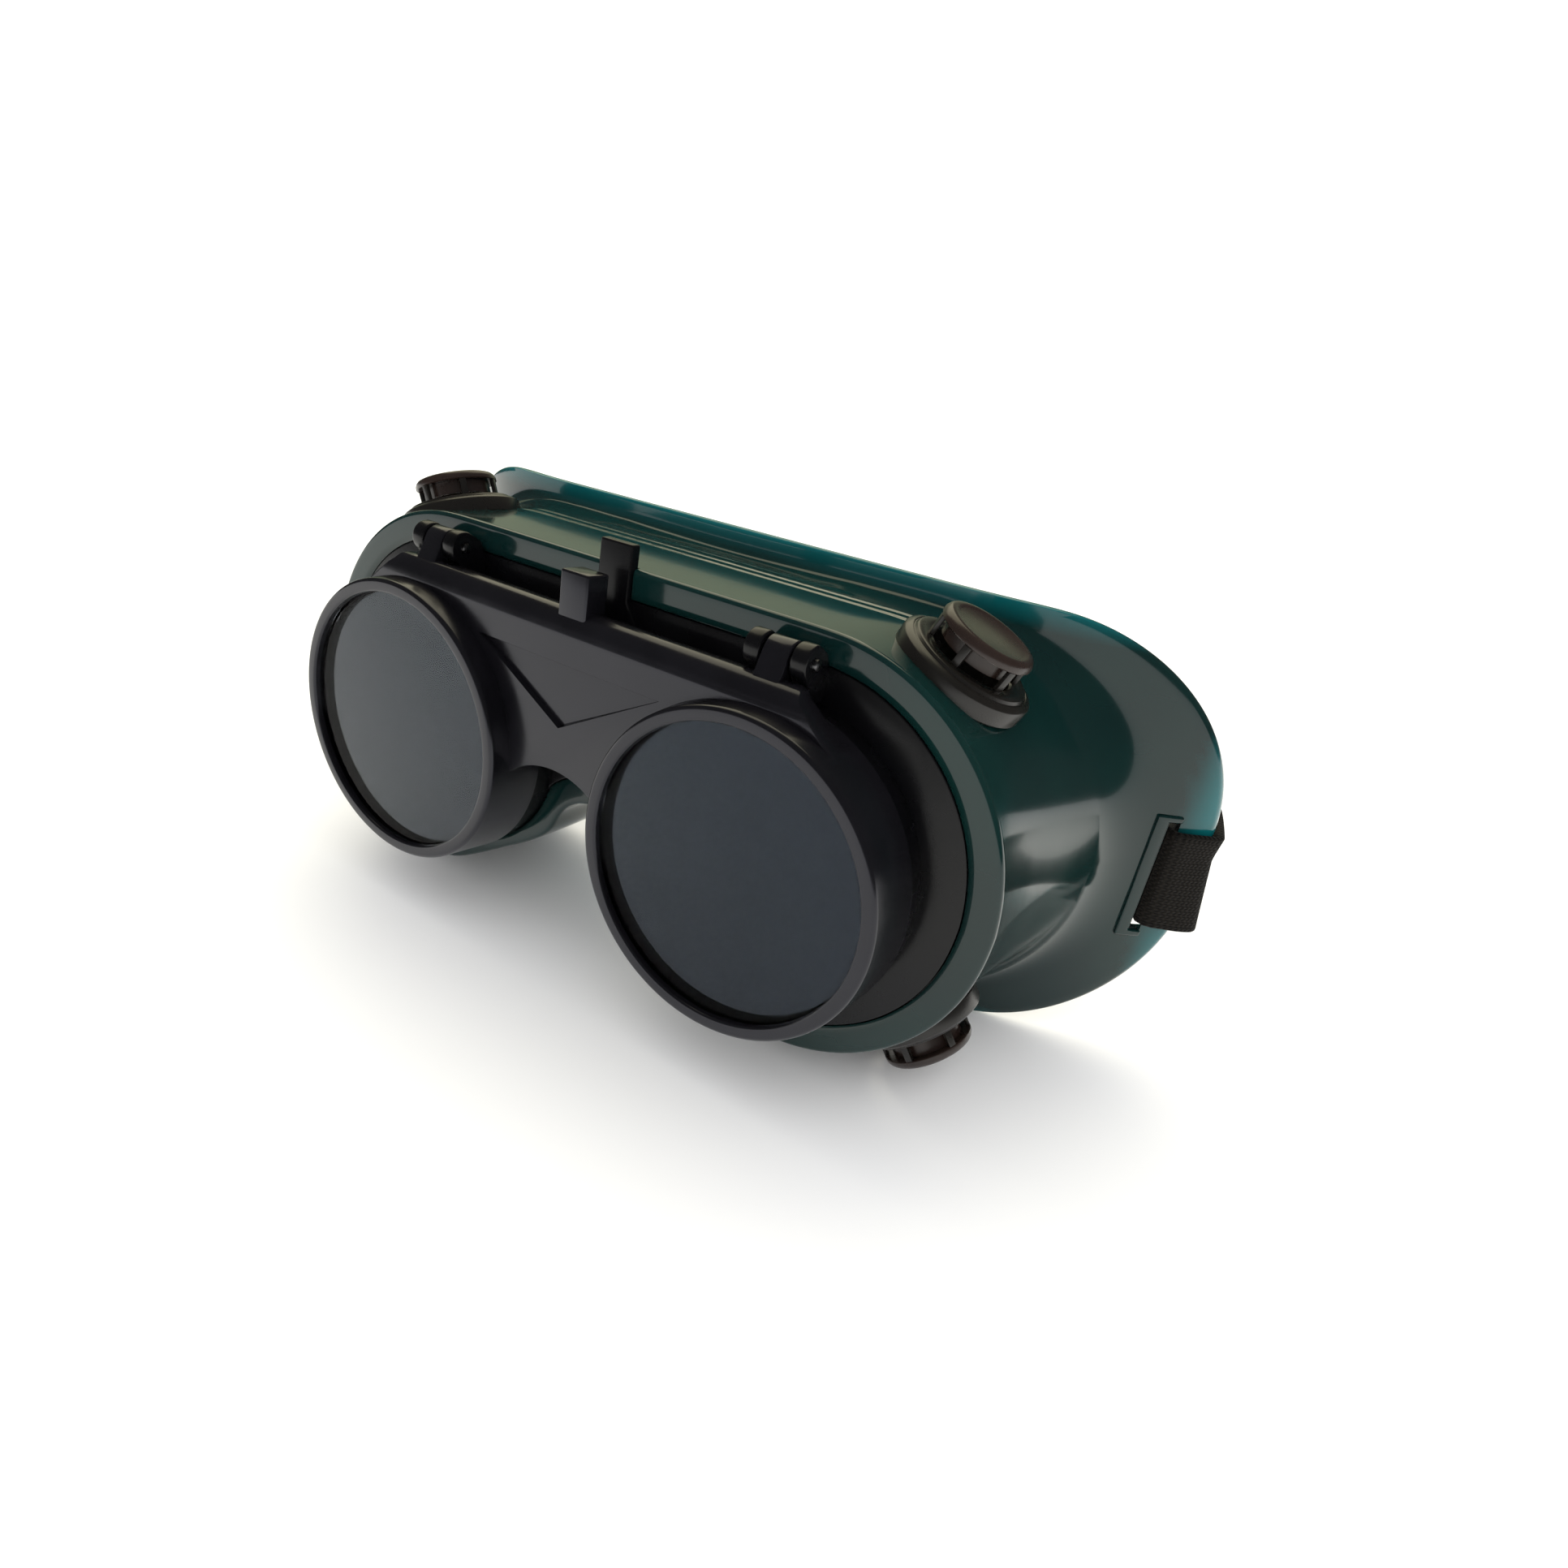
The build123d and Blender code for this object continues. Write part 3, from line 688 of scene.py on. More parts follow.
def field_cutter():
    """The sunken V-shaped field, with sloping sides."""
    loops = []
    for depth, grow in ((-0.5, 0.5), (0.15, 0.12), (FIELD["depth"], -0.25)):
        y = PLATE_Y[0] + depth
        w, top = FIELD["half_w"] + 2.1 * grow, FIELD["top"] + grow
        loops.append([(-w, y, top), (0, y, FIELD["apex"] - 1.1 * grow), (w, y, top)])
    return loft("field", loops)


def make_plate():
    plate = extrude_outline("plate", plate_outline(), FRONT_VIEW, *PLATE_Y)
    bevel(plate, 0.35, 2, 50)
    cut(plate, crown_cutter(), field_cutter())
    for side in SIDES:
        cut(plate, cylinder("bore", lens_axis(side), BORE_R, -2, 14, 128))
    return plate


def flip_cup(side):
    """Tapered lens cup with a rounded front rim and a stepped back edge."""
    r0, r1, y1, seat = FLIP_RIM_R, FLIP_CUP_BACK_R, FLIP_CUP_BACK_Y, COVER_SEAT_Y
    rim = arc((r0 - 0.8, 0.8), 0.8, -90, 0, 6)
    lip = arc((FLIP_SIGHT_R + 0.5, 0.5), 0.5, 180, 270, 5)
    back = [(r1 - 0.12, y1 - 1.2), (r1, y1 - 0.35), (r1 - 0.3, y1)]
    pocket = [(POCKET_R + 0.35, y1), (POCKET_R, y1 - 0.4), (POCKET_R, seat), (FLIP_SIGHT_R, seat)]
    return revolve("flip_cup", lip + rim + back + pocket, lens_axis(side), 192)


def hinge_bore(radius, x0, width):
    """Cutter for the pin's hole through a knuckle that starts at x0."""
    axis = SIDE_VIEW @ Matrix.Translation((HINGE.y, HINGE.z, 0))
    return cylinder("bore", axis, radius, x0 - CUT_OVER, x0 + width + CUT_OVER, 32)


def make_lug(side):
    """Hinge knuckle with its arm down to the plate."""
    x0 = SIDES[side] * LUG_X - LUG_W / 2
    nose = arc((HINGE.y, HINGE.z), LUG_R, -30, 160, 20)
    profile = nose + [(PLATE_Y[0] + 0.7, 28.0), (PLATE_Y[0] + 0.9, 27.2), (PLATE_Y[1], 27.2)]
    lug = bevel(extrude_outline("lug", profile, SIDE_VIEW, x0, x0 + LUG_W), 0.35, 3, 40)
    return cut(lug, hinge_bore(LUG_BORE_R, x0, LUG_W))


def make_thumb():
    """Upright block the wearer pushes to flip the front."""
    half = THUMB_W / 2
    block = box("thumb", (-half, half), THUMB_Y, THUMB_Z)
    return bevel(block, 0.45, 3)


def make_flip_frame(material):
    body = make_plate()
    unite(body, flip_cup("left"), flip_cup("right"), make_thumb(), make_lug("left"), make_lug("right"))
    body.name = "flip_frame_body"
    place(smooth(body), FLIP, material, "frame_plastic", "flip_frame")


# -------------------- fixed lens carrier
def panel_outline(inset):
    return clear_of_lens_cups(outline_at(CUP_FRONT_Y, inset), CARRIER_CUP_R)


def carrier_cup(side):
    """Straight lens cup with a rounded front rim."""
    front, back = CARRIER_LOW.y, CARRIER_CUP_BACK_Y
    seat = box_mm("clear_lens_" + side)[0].y
    rim = arc((CARRIER_CUP_R - 0.5, front + 0.5), 0.5, -90, 0, 5)
    lip = arc((CARRIER_SIGHT_R + 0.3, front + 0.3), 0.3, 180, 270, 4)
    edge = [(CARRIER_CUP_R, back - 0.3), (CARRIER_CUP_R - 0.3, back)]
    pocket = [(POCKET_R + 0.3, back), (POCKET_R, back - 0.3), (POCKET_R, seat), (CARRIER_SIGHT_R, seat)]
    return revolve("carrier_cup", lip + rim + edge + pocket, lens_axis(side), 192)


def make_ear(x0):
    """One hinge ear, from its knuckle back to the panel."""
    root = PANEL_Y[0] + 1
    knuckle = arc((HINGE.y, HINGE.z), EAR_R, 230, 75, 24)
    profile = knuckle + [(14.0, 35.2), (14.9, 32.8), (root, 32.8), (root, 27.8), (12.0, 27.2)]
    ear = bevel(extrude_outline("ear", profile, SIDE_VIEW, x0, x0 + EAR_T), 0.35, 3, 40)
    return cut(ear, hinge_bore(PIN_R, x0, EAR_T))


def ear_starts():
    inner = LUG_X - LUG_W / 2 - EAR_GAP - EAR_T
    outer = LUG_X + LUG_W / 2 + EAR_GAP
    return [inner, outer, -inner - EAR_T, -outer - EAR_T]


def make_tongue():
    """Catch tongue on a flared foot."""
    w, foot, top = TONGUE_W / 2, TONGUE_FOOT_HALF_W, CARRIER_HIGH.z
    shape = [(-w, top), (w, top), (w, 32.8), (foot, 27.8),
             (foot, 26.5), (-foot, 26.5), (-foot, 27.8), (-w, 32.8)]
    return bevel(extrude_outline("tongue", shape, FRONT_VIEW, *TONGUE_Y), 0.4, 3)


def make_lens_carrier(material):
    panel = extrude_outline("panel", panel_outline(PANEL_INSET), FRONT_VIEW, *PANEL_Y)
    bevel(panel, 0.3, 2, 50)
    unite(panel, extrude_outline("rear", panel_outline(REAR_FLANGE_INSET), FRONT_VIEW, *REAR_FLANGE_Y))
    for side in SIDES:
        cut(panel, cylinder("bore", lens_axis(side), BORE_R, 0, 30, 128))
    ears = [make_ear(x) for x in ear_starts()]
    unite(panel, carrier_cup("left"), carrier_cup("right"), make_tongue(), *ears)
    panel.name = "lens_carrier_body"
    place(smooth(panel), BODY, material, "frame_plastic", "lens_carrier")


def make_pins(material):
    for side in SIDES:
        low, high = box_mm("hinge_pin_" + side)
        axis = Matrix.Translation((low.x, HINGE.y, HINGE.z)) @ Matrix.Rotation(math.radians(90), 4, "Y")
        length = high.x - low.x
        end = [(0, 0), (0.6, 0.04), (0.9, 0.25), (PIN_R, 0.55)]
        profile = end + [(radius, length - height) for radius, height in reversed(end)]
        pin = revolve("hinge_pin_" + side + "_wire", profile, axis, 48, solid=True)
        place(smooth(pin), BODY, material, "pin_steel", "hinge_pin_" + side)


# -------------------- lenses and rings
def lens_disc(node, side, body, material, slot):
    """Round glass with ground, chamfered edges."""
    low, high = box_mm(node)
    r, chamfer = LENS_R - 0.02, 0.25
    y0, y1 = low.y, high.y
    front = [(0, y0), (r * 0.5, y0), (r - chamfer, y0), (r, y0 + chamfer)]
    back = [(r, y1 - chamfer), (r - chamfer, y1), (r * 0.5, y1), (0, y1)]
    disc = revolve(node + "_glass", front + back, lens_axis(side), 160, solid=True)
    place(smooth(disc, 25), body, material, slot, node)


def ring_piece(node, side, body, material, slot, notches):
    """Ring with chamfers, fine grooves round it and, if it screws in, spanner notches."""
    low, high = box_mm(node)
    outer, inner = (high.x - low.x) / 2 - 0.02, RING_INNER_R
    y0, y1 = low.y + 0.01, high.y
    threads = []
    for k in range(4):
        y = y0 + 0.45 + k * THREAD_PITCH
        threads += [(outer - THREAD_DEPTH, y), (outer, y + 0.2)]
    profile = [(inner, y0 + 0.2), (inner + 0.2, y0), (outer - 0.3, y0)] + threads
    profile += [(outer, y1 - 0.3), (outer - 0.3, y1), (inner + 0.5, y1), (inner, y1 - 0.5)]
    ring = revolve(node + "_ring", profile, lens_axis(side), 144)
    cutters = []
    for k in range(notches):
        turn = math.radians(45 + 360 / notches * k)
        offset = Vector((NOTCH_AT_R * math.cos(turn), 0, NOTCH_AT_R * math.sin(turn)))
        axis = Matrix.Translation(offset) @ lens_axis(side)
        cutters.append(cylinder("notch", axis, NOTCH_R, y1 - 1.3, y1 + CUT_OVER, 24))
    cut(ring, *cutters)
    place(smooth(ring), body, material, slot, node)


def make_lenses(materials):
    for side in SIDES:
        lens_disc("cover_lens_" + side, side, FLIP, materials["cover_glass"], "cover_glass")
        lens_disc("shade_lens_" + side, side, FLIP, materials["shade_glass"], "shade_glass")
        lens_disc("clear_lens_" + side, side, BODY, materials["clear_glass"], "clear_glass")
        ring_piece("shade_lens_ring_" + side, side, FLIP, materials["frame_plastic"], "frame_plastic", 4)
        ring_piece("clear_lens_ring_" + side, side, BODY, materials["frame_plastic"], "frame_plastic", 4)
        ring_piece("lens_gasket_" + side, side, BODY, materials["gasket_rubber"], "gasket_rubber", 0)


# -------------------- vents
def vent_base(level, side):
    """Stepped flange that fits down over its seat, with a sleeve, and the posts that hold the cap."""
    seat = vent_place(level, side)
    sleeve = [(7.2, -5.0), (8.1, -5.0), (8.4, -4.7), (8.4, 0.03)]
    skirt = [(10.75, 0.03), (10.9, -2.25), (11.6, -2.25), (11.8, -2.0), (11.8, 0.55), (11.65, 0.8)]
    step = [(10.9, 1.25), (10.65, 1.32), (10.5, 1.24), (10.35, 1.3), (10.1, 1.75), (9.85, 1.88)]
    mouth = [(8.5, 1.88), (8.3, 1.8), (7.5, 1.8), (7.2, 1.5)]
    base = revolve("vent_base_" + level + "_" + side + "_body", sleeve + skirt + step + mouth, seat, 96)
    foot = rectangle(POST_R, (-POST_HALF_W, POST_HALF_W))
    posts = []
    for k in range(VENT_POSTS):
        turn = seat @ Matrix.Rotation(2 * math.pi * k / VENT_POSTS, 4, "Z")
        posts.append(bevel(extrude_outline("post", foot, turn, *POST_Z), 0.12, 2))
    return unite(base, *posts)


def vent_cap(level, side):
    """Cap with a soft edge and a dished middle, on a skirt."""
    seat = vent_place(level, side)
    skirt = [(0, 4.8), (6.0, 4.8), (6.0, 2.85), (6.5, 2.85), (6.5, 5.3)]
    edge = [(8.05, 5.3), (8.2, 5.45), (8.18, 6.0), (7.9, 6.55), (7.6, 6.84), (7.3, 6.96)]
    dish = [(6.9, 7.0), (6.5, 6.98), (6.2, 6.88), (5.9, 6.8), (0, 6.8)]
    name = "vent_cap_" + level + "_" + side + "_body"
    return revolve(name, skirt + edge + dish, seat, 96, solid=True)


def make_vents(base_material, cap_material):
    for level in VENT_ANGLES:
        for side in SIDES:
            name = level + "_" + side
            base, cap = smooth(vent_base(level, side)), smooth(vent_cap(level, side))
            place(base, BODY, base_material, "vent_plastic", "vent_base_" + name)
            place(cap, BODY, cap_material, "vent_plastic", "vent_cap_" + name)


# -------------------- headband
def rounded_path(points, radii, step=1.2):
    """Plan route with an arc at each inner corner, as closely spaced points."""
    knots = [[Vector(points[0])]]
    for k, radius in enumerate(radii, 1):
        corner = Vector(points[k])
        a, b = Vector(points[k - 1]) - corner, Vector(points[k + 1]) - corner
        half = a.angle(b) / 2
        reach = min(radius / math.tan(half), 0.49 * a.length, 0.49 * b.length)
        radius = reach * math.tan(half)
        a.normalize()
        b.normalize()
        centre = corner + (a + b).normalized() * (radius / math.sin(half))
        start, end = corner + a * reach - centre, corner + b * reach - centre
        turn = start.angle_signed(end)
        count = max(3, round(abs(turn) * radius / step))
        rotate = [Matrix.Rotation(-turn * i / count, 2) for i in range(count + 1)]
        knots.append([centre + m @ start for m in rotate])
    knots.append([Vector(points[-1])])
    path = []
    for here, there in zip(knots, knots[1:]):
        path += here
        gap = (there[0] - here[-1]).length
        count = int(gap / step)
        path += [here[-1].lerp(there[0], i / count) for i in range(1, count)]
    return path + knots[-1]


def band_z(y):
    """Height of the band's middle: level at the slots, lower round the back."""
    return SLOT_MID_Z + (BAND_BACK_Z - SLOT_MID_Z) * ease(y, *BAND_SLOPE)


def flare(p, v):
    """How far out the band leans at height v on it: beside the slots its lower edge hangs clear."""
    return FLARE_SLOPE * (BAND_H / 4 - v) * ease(abs(p.x), *FLARE_X) * (1 - ease(p.y, *FLARE_Y))


def sway(travelled, v):
    """Slight unevenness of the soft band along its run, more at its edges."""
    wave = 0.06 * math.sin(travelled / 9.0) + 0.04 * math.sin(travelled / 3.7 + 1.0)
    return wave + 0.07 * (abs(v) / (BAND_H / 2)) ** 4 * math.sin(travelled / 5.0)


def band_section():
    """The band's rounded section, with more points along its two faces."""
    corners = rounded_rect(BAND_T / 2, BAND_H / 2, BAND_EDGE_R, 3)
    section = []
    for here, there in zip(corners, corners[1:] + corners[:1]):
        steps = 12 if abs(there[1] - here[1]) > 4 else 1
        section += span(here, there, steps)
    return section


def ribbon(name, path):
    """A flat woven band along a plan route; along and across are stored for its weave."""
    section = band_section()
    loops, along, across, travelled = [], [], [], 0.0
    for k, p in enumerate(path):
        ahead = path[min(k + 1, len(path) - 1)] - path[max(k - 1, 0)]
        normal = Vector((-ahead.y, ahead.x)).normalized()
        travelled += (p - path[k - 1]).length if k else 0.0
        z = band_z(p.y)
        loop = []
        for u, v in section:
            q = p + normal * (u + sway(travelled, v))
            loop.append((q.x + math.copysign(flare(p, v), q.x), q.y, z + v))
            along.append(travelled)
            across.append(v)
        loops.append(loop)
    band = loft(name, loops)
    for label, values in (("along", along), ("across", across)):
        layer = band.data.attributes.new(label, "FLOAT", "POINT")
        layer.data.foreach_set("value", values)
    return band


def headband_route():
    """Sewn tail on the left, round the back, and the long tail back to the slider."""
    sewn = [(94.8, 107.0), (96.9, 84.0), (92.4, 72.0), (92.35, 64.6)]
    outer = [(100.3, 72.1), (98.9, 84.0), (92.7, 134.0), (64.0, 160.0)]
    back = [(-x, y) for x, y in reversed(outer)]
    slide = [(-92.35, 64.6), (-92.4, 72.0), (-96.9, 84.0), (-90.9, 133.0), (-63.2, 158.0), (18.0, 158.0)]
    left_radii = [8, 4, 1.6, 2.2, 30, 60, 34]
    return rounded_path(sewn + outer + back + slide, left_radii + left_radii[::-1] + [58, 32])


def stitches(name, path_points, material):
    """Short raised stitches along a line of points on the band's face."""
    pieces = []
    for a, b in zip(path_points[::2], path_points[1::2]):
        a, b = Vector(a), Vector(b)
        direction = b - a
        turn = direction.to_track_quat("Z", "Y").to_matrix().to_4x4()
        length = direction.length
        end = [(0, 0), (0.14, 0.05), (0.22, 0.25)]
        other = [(radius, length - height) for radius, height in reversed(end)]
        profile = end + [(0.24, length / 2)] + other
        pieces.append(revolve("stitch", profile, Matrix.Translation(a) @ turn, 8, solid=True))
    thread = join(name, pieces)
    place(smooth(thread, 60), BODY, material, "band_elastic")


def stitch_rows(path):
    """Box of stitches through both layers, on the outer face beside the left slot."""
    lines = []
    for y in STITCH_BOX_Y:
        for k in range(12):
            v = k * 1.5 - 8.25
            lines += [(y, v), (y, v + 0.9)]
    for v in (-STITCH_BOX_V, STITCH_BOX_V):
        for k in range(7):
            y = STITCH_BOX_Y[0] + 0.4 + k * 1.65
            lines += [(y, v), (y + 1.05, v)]
    points = []
    for y, v in lines:
        outer = max((p for p in path if abs(p.y - y) < 1.0), key=lambda p: p.x)
        points.append((outer.x + flare(outer, v) + BAND_T / 2 + 0.02, y, band_z(y) + v))
    return points


def make_headband(material, thread):
    path = headband_route()
    place(smooth(ribbon("headband_elastic", path), 40), BODY, material, "band_elastic", "headband")
    stitches("headband_stitching", stitch_rows(path), thread)


def make_slider(material):
    """Slide buckle: a sleeve round both layers, with finger ribs on its outer face."""
    low, high = box_mm("band_slider")
    mid = (low + high) / 2
    half = (high - low) / 2
    x0, x1 = low.x, high.x
    outside = [(x0 + 0.5, 0.0), (x1 - 0.5, 0.0), (x1 - 0.15, 0.15), (x1, 0.5)]
    inside = [(x1, 0.4), (x1 - 0.4, 0.0), (x0 + 0.4, 0.0), (x0, 0.4)]
    end = [(x0, 0.5), (x0 + 0.15, 0.15)]

    def outer_loop(x, inset):
        section = rounded_rect(half.y - inset, half.z - inset, 1.6)
        return [(x, mid.y + u, mid.z + v) for u, v in section]

    def window_loop(x, grow):
        section = rounded_rect(BUCKLE_WINDOW[0] + grow, BUCKLE_WINDOW[1] + grow, 0.8)
        return [(x, mid.y + u, mid.z + v) for u, v in section]

    loops = [outer_loop(*s) for s in outside] + [window_loop(*s) for s in inside]
    sleeve = loft("band_slider_body", loops + [outer_loop(*s) for s in end], ring=True)
    ribs = []
    for k in range(-2, 3):
        x = mid.x + k * 1.9
        rib = box("rib", (x - 0.45, x + 0.45), (high.y - 0.3, high.y + 0.45), (low.z + 3, high.z - 3))
        ribs.append(bevel(rib, 0.3))
    unite(sleeve, *ribs)
    place(smooth(sleeve), "slider", material, "vent_plastic", "band_slider")


# -------------------- materials
class Shader:
    """A material with one Principled shader and short helpers for its nodes."""

    def __init__(self, name, color, roughness, **sockets):
        self.material = bpy.data.materials.new(name)
        self.material.use_nodes = True
        self.tree = self.material.node_tree
        self.bsdf = self.tree.nodes["Principled BSDF"]
        self.bsdf.inputs["Base Color"].default_value = (*color, 1)
        self.bsdf.inputs["Roughness"].default_value = roughness
        for key, value in sockets.items():
            self.bsdf.inputs[key.replace("_", " ")].default_value = value

    def set_input(self, key, value):
        self.bsdf.inputs[key].default_value = value

    def node(self, kind, **values):
        made = self.tree.nodes.new(kind)
        for key, value in values.items():
            setattr(made, key, value)
        return made

    def link(self, source, target):
        self.tree.links.new(source, target)

    def position(self, scale=(1, 1, 1)):
        """Object coordinates in millimetres, stretched by scale."""
        coords = self.node("ShaderNodeTexCoord")
        mapping = self.node("ShaderNodeMapping")
        mapping.inputs["Scale"].default_value = [s / MM for s in scale]
        self.link(coords.outputs["Object"], mapping.inputs["Vector"])
        return mapping.outputs["Vector"]

    def noise(self, scale, detail=3.0, stretch=(1, 1, 1)):
        made = self.node("ShaderNodeTexNoise")
        made.inputs["Scale"].default_value = scale
        made.inputs["Detail"].default_value = detail
        self.link(self.position(stretch), made.inputs["Vector"])
        return made.outputs["Fac"]

    def attribute(self, name):
        made = self.node("ShaderNodeAttribute", attribute_name=name)
        return made.outputs["Fac"]

    def math(self, operation, a, b=0.0):
        made = self.node("ShaderNodeMath", operation=operation)
        for k, value in enumerate((a, b)):
            if isinstance(value, (int, float)):
                made.inputs[k].default_value = value
            else:
                self.link(value, made.inputs[k])
        return made.outputs["Value"]

    def remap(self, value, low, high, to_low, to_high):
        made = self.node("ShaderNodeMapRange")
        limits = {"From Min": low, "From Max": high, "To Min": to_low, "To Max": to_high}
        for key, number in limits.items():
            made.inputs[key].default_value = number
        self.link(value, made.inputs["Value"])
        return made.outputs["Result"]

    def mix(self, factor, a, b):
        made = self.node("ShaderNodeMix", data_type="RGBA")
        for key, value in (("A", a), ("B", b)):
            socket = next(s for s in made.inputs if s.name == key and s.type == "RGBA")
            if isinstance(value, tuple):
                socket.default_value = (*value, 1)
            else:
                self.link(value, socket)
        self.link(factor, made.inputs["Factor"])
        return next(s for s in made.outputs if s.type == "RGBA")

    def color(self, value):
        self.link(value, self.bsdf.inputs["Base Color"])

    def roughness(self, value):
        self.link(value, self.bsdf.inputs["Roughness"])

    def bump(self, height, distance, strength=1.0):
        made = self.node("ShaderNodeBump")
        made.inputs["Strength"].default_value = strength
        made.inputs["Distance"].default_value = distance * MM
        self.link(height, made.inputs["Height"])
        self.link(made.outputs["Normal"], self.bsdf.inputs["Normal"])


def cup_pvc():
    """Glossy, slightly translucent dark green PVC, with light through it painted in as a brighter teal
    along the flange's edge and above the nose.
    """
    s = Shader("cup_pvc", (0.004, 0.018, 0.017), 0.12, Coat_Weight=0.2, Coat_Roughness=0.05,
               IOR=1.43, Subsurface_Weight=0.08, Subsurface_Scale=1.0,
               Subsurface_Radius=(0.4 * MM, 2.5 * MM, 2.3 * MM))
    cloud = s.remap(s.noise(0.03, 2.0), 0.35, 0.65, 0.0, 1.0)
    base = s.mix(cloud, (0.003, 0.015, 0.0145), (0.004, 0.021, 0.019))
    # Painted glow: the bright teal stands for light shining through the translucent PVC, mixed in where
    # the glow mask is set.
    s.color(s.mix(s.attribute("painted_glow"), base, (0.003, 0.11, 0.12)))
    s.roughness(s.remap(s.noise(0.05, 3.0), 0.3, 0.7, 0.1, 0.15))
    s.bump(s.noise(0.12, 2.0), 0.05, 0.25)
    return s.material


def moulded(name, dark, light, rough, grain, ior=1.5, tint=(1.0, 1.0, 1.0, 1.0)):
    """Satin moulded plastic: very fine grain and slightly cloudy gloss."""
    s = Shader(name, dark, rough, IOR=ior)
    s.set_input("Specular Tint", tint)
    cloud = s.remap(s.noise(0.08, 4.0), 0.3, 0.7, 0.0, 1.0)
    s.color(s.mix(cloud, dark, light))
    s.roughness(s.remap(s.noise(0.15, 4.0), 0.3, 0.7, rough - 0.03, rough + 0.04))
    s.bump(s.noise(grain, 2.0), 0.01, 0.15)
    return s.material


def clear_lens(name):
    """Polished clear glass with faint smears."""
    s = Shader(name, (0.97, 0.985, 0.98), 0.01, IOR=1.12, Transmission_Weight=1.0)
    s.color(s.mix(s.noise(0.05, 3.0), (0.96, 0.98, 0.98), (0.98, 0.99, 1.0)))
    return s.material


def shade_lens():
    """Very dark filter glass."""
    s = Shader("shade_glass", (0.006, 0.007, 0.01), 0.03, IOR=1.42)
    s.set_input("Specular Tint", (0.6, 0.75, 1.0, 1.0))
    cloud = s.remap(s.noise(0.02, 1.0), 0.3, 0.7, 0.0, 1.0)
    s.color(s.mix(cloud, (0.004, 0.005, 0.007), (0.006, 0.007, 0.01)))
    return s.material


def gasket():
    s = Shader("gasket_rubber", (0.012, 0.012, 0.012), 0.7)
    s.color(s.mix(s.noise(0.6, 4.0), (0.009, 0.009, 0.009), (0.02, 0.02, 0.02)))
    s.bump(s.noise(3.0, 3.0), 0.03, 0.4)
    return s.material


def pin_steel():
    """Drawn wire with fine lines along it."""
    s = Shader("pin_steel", (0.14, 0.14, 0.145), 0.3, Metallic=1.0)
    lines = s.noise(4.0, 4.0, (0.05, 1.0, 1.0))
    s.color(s.mix(lines, (0.09, 0.09, 0.095), (0.18, 0.18, 0.185)))
    s.roughness(s.remap(lines, 0.3, 0.7, 0.22, 0.42))
    return s.material


def band_elastic():
    """Woven elastic tape: ribs along its length crossed by picks, and firmer selvedges."""
    s = Shader("band_elastic", (0.007, 0.006, 0.005), 0.8,
               IOR=1.25, Sheen_Weight=0.03, Sheen_Roughness=0.5)
    along, across = s.attribute("along"), s.attribute("across")
    rib = s.math("SINE", s.math("MULTIPLY", across, 2 * math.pi / RIB_PITCH))
    phase = s.math("MULTIPLY", along, 2 * math.pi / PICK_PITCH)
    pick = s.math("SINE", phase)
    offset = s.math("SINE", s.math("ADD", phase, s.math("MULTIPLY", rib, 1.6)))
    ribs = s.math("MULTIPLY", s.math("ABSOLUTE", rib), 0.6)
    weave = s.math("ADD", ribs, s.math("MULTIPLY", offset, 0.4))
    edge = s.remap(s.math("ABSOLUTE", across), 8.6, 8.9, 0.0, 1.0)
    thread = s.mix(s.remap(weave, -0.4, 1.0, 0.0, 1.0), (0.003, 0.0025, 0.002), (0.014, 0.0115, 0.009))
    selvedge = s.mix(s.remap(pick, -1.0, 1.0, 0.0, 1.0), (0.003, 0.0025, 0.002), (0.011, 0.009, 0.007))
    s.color(s.mix(edge, thread, selvedge))
    s.bump(s.math("ADD", weave, s.math("MULTIPLY", s.noise(2.5, 4.0), 0.5)), 0.18, 0.9)
    return s.material


def thread_material():
    s = Shader("stitch_thread", (0.03, 0.028, 0.025), 0.6, Sheen_Weight=0.2)
    s.color(s.mix(s.noise(3.0, 3.0), (0.012, 0.011, 0.01), (0.028, 0.026, 0.023)))
    s.bump(s.noise(6.0, 2.0, (1, 1, 0.2)), 0.05, 0.6)
    return s.material


# -------------------- camera, light, floor
def make_camera():
    data = bpy.data.cameras.new("camera")
    data.lens = CAMERA_LENS
    data.sensor_width = CAMERA_SENSOR
    data.clip_start = 0.005
    data.clip_end = 50.0
    ahead = math.cos(CAMERA_RISE)
    back = Vector((math.sin(CAMERA_TURN) * ahead, -math.cos(CAMERA_TURN) * ahead, math.sin(CAMERA_RISE)))
    level = (-back).cross(Vector((0, 0, 1))).normalized()
    down = (-back).cross(level)
    right = math.cos(CAMERA_ROLL) * level - math.sin(CAMERA_ROLL) * down
    down = math.sin(CAMERA_ROLL) * level + math.cos(CAMERA_ROLL) * down
    camera = bpy.data.objects.new("camera", data)
    basis = Matrix((right, -down, back)).transposed()
    camera.matrix_world = Matrix.Translation(CAMERA_AT * MM) @ basis.to_4x4()
    bpy.context.scene.collection.objects.link(camera)
    bpy.context.scene.camera = camera


def area_light(name, place_at, target, size, power, color=(1, 1, 1)):
    data = bpy.data.lights.new(name, "AREA")
    data.shape = "RECTANGLE"
    data.size, data.size_y = size
    data.energy = power
    data.color = color
    light = bpy.data.objects.new(name, data)
    light.location = place_at
    light.rotation_euler = (Vector(target) - Vector(place_at)).to_track_quat("-Z", "Y").to_euler()
    light.visible_camera = False
    bpy.context.scene.collection.objects.link(light)


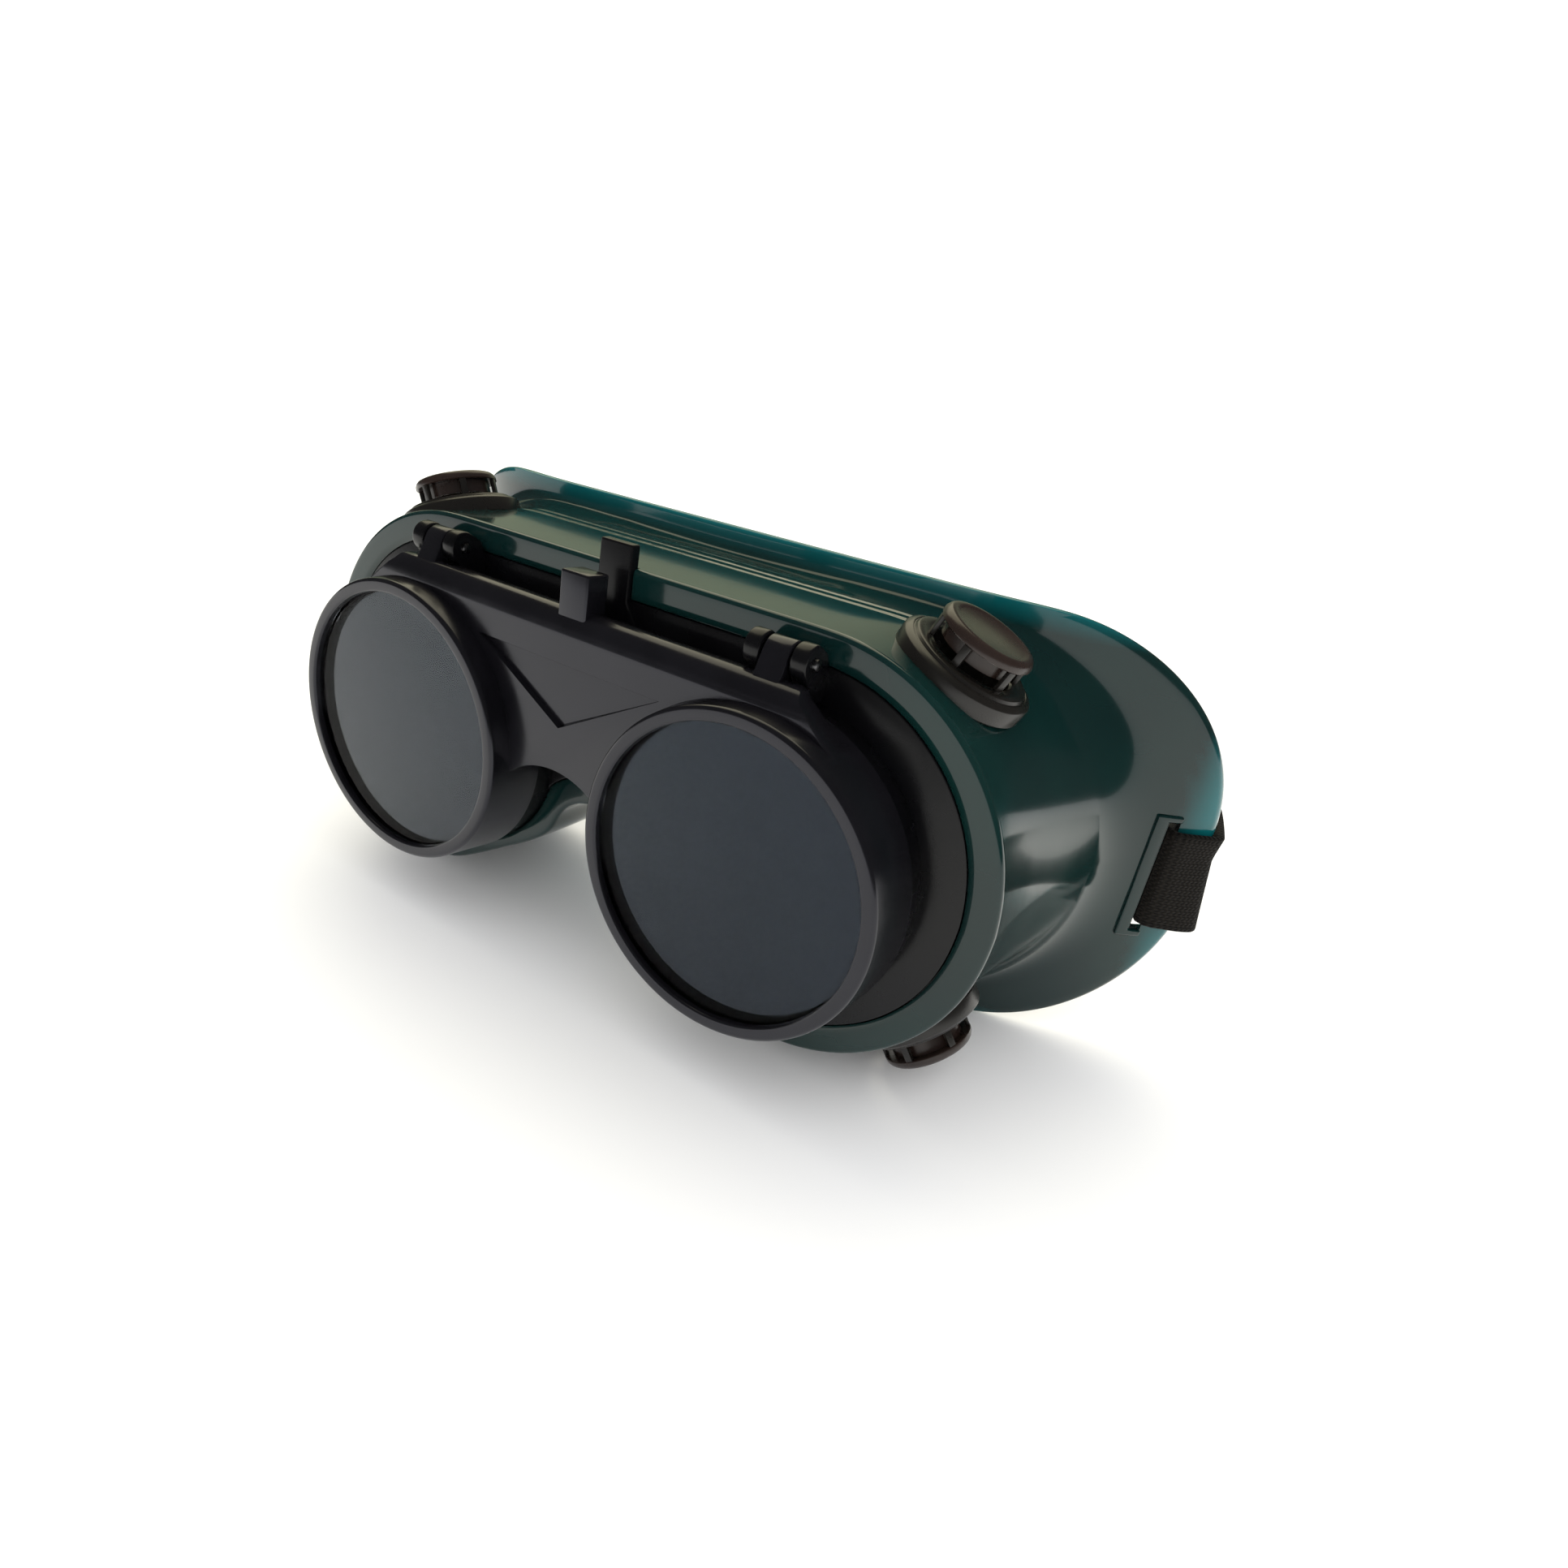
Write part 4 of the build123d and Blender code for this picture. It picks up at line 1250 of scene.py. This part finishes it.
def make_lights():
    """A large warm softbox high behind, and a green-tinted one low behind for the cup's top."""
    area_light("overhead_softbox", (-0.36, 0.4, 0.74), (0, 0.03, 0), (0.9, 0.9), 4.4, (1.0, 0.93, 0.66))
    area_light("back_softbox", (-0.62, 0.86, 0.26), (0.0, 0.0, 0.0), (1.5, 0.5), 0.75, (0.88, 1.0, 0.62))


def make_world():
    """White all round, but dim in reflections, so that the glossy plastics keep their depth."""
    world = bpy.data.worlds.new("studio")
    world.use_nodes = True
    tree = world.node_tree
    background = tree.nodes["Background"]
    path = tree.nodes.new("ShaderNodeLightPath")
    strength = tree.nodes.new("ShaderNodeMapRange")
    strength.inputs["To Min"].default_value = 1.3
    strength.inputs["To Max"].default_value = 0.06
    tree.links.new(path.outputs["Is Glossy Ray"], strength.inputs["Value"])
    tree.links.new(strength.outputs["Result"], background.inputs["Strength"])
    background.inputs["Color"].default_value = (1, 1, 1, 1)
    bpy.context.scene.world = world
    bpy.context.scene.view_settings.view_transform = "Standard"


def make_floor():
    reach = (-FLOOR_HALF_W, FLOOR_HALF_W)
    corners = [(x, y, CAD_LOW.z / MM - 0.05) for x, y in rectangle(reach, reach)]
    floor = new_object("floor", corners, [(0, 1, 2, 3)])
    s = Shader("pale_floor", (0.94, 0.94, 0.94), 0.7)
    s.color(s.mix(s.noise(0.01, 2.0), (0.93, 0.93, 0.93), (0.95, 0.95, 0.95)))
    floor.data.materials.append(s.material)


def make_materials():
    return {
        "cup_pvc": cup_pvc(),
        "frame_plastic": moulded("frame_plastic", (0.0035, 0.0034, 0.0045), (0.006, 0.0058, 0.0075),
                                 0.2, 2.2, 1.5, (0.88, 0.89, 1.0, 1.0)),
        # The carrier's plastic is the frame's black plastic made darker and less glossy: painted shade for
        # the panel that lies in the flip front's shadow.
        "shaded_carrier_plastic": moulded("shaded_carrier_plastic", (0.002, 0.002, 0.0026),
                                   (0.0035, 0.0035, 0.0045), 0.26, 2.2, 1.36),
        "vent_plastic": moulded("vent_plastic", (0.007, 0.006, 0.005), (0.012, 0.0105, 0.0085), 0.28, 2.6),
        "cap_plastic": moulded("cap_plastic", (0.015, 0.0085, 0.0065), (0.024, 0.014, 0.011), 0.28, 2.6),
        "cover_glass": clear_lens("cover_glass"),
        "clear_glass": clear_lens("clear_glass"),
        "shade_glass": shade_lens(),
        "gasket_rubber": gasket(),
        "pin_steel": pin_steel(),
        "band_elastic": band_elastic(),
        "thread": thread_material(),
    }


make_camera()
MATERIALS = make_materials()
make_cup_shell(MATERIALS["cup_pvc"])
make_flip_frame(MATERIALS["frame_plastic"])
make_lens_carrier(MATERIALS["shaded_carrier_plastic"])
make_pins(MATERIALS["pin_steel"])
make_lenses(MATERIALS)
make_vents(MATERIALS["vent_plastic"], MATERIALS["cap_plastic"])
make_headband(MATERIALS["band_elastic"], MATERIALS["thread"])
make_slider(MATERIALS["vent_plastic"])
make_floor()
make_lights()
make_world()
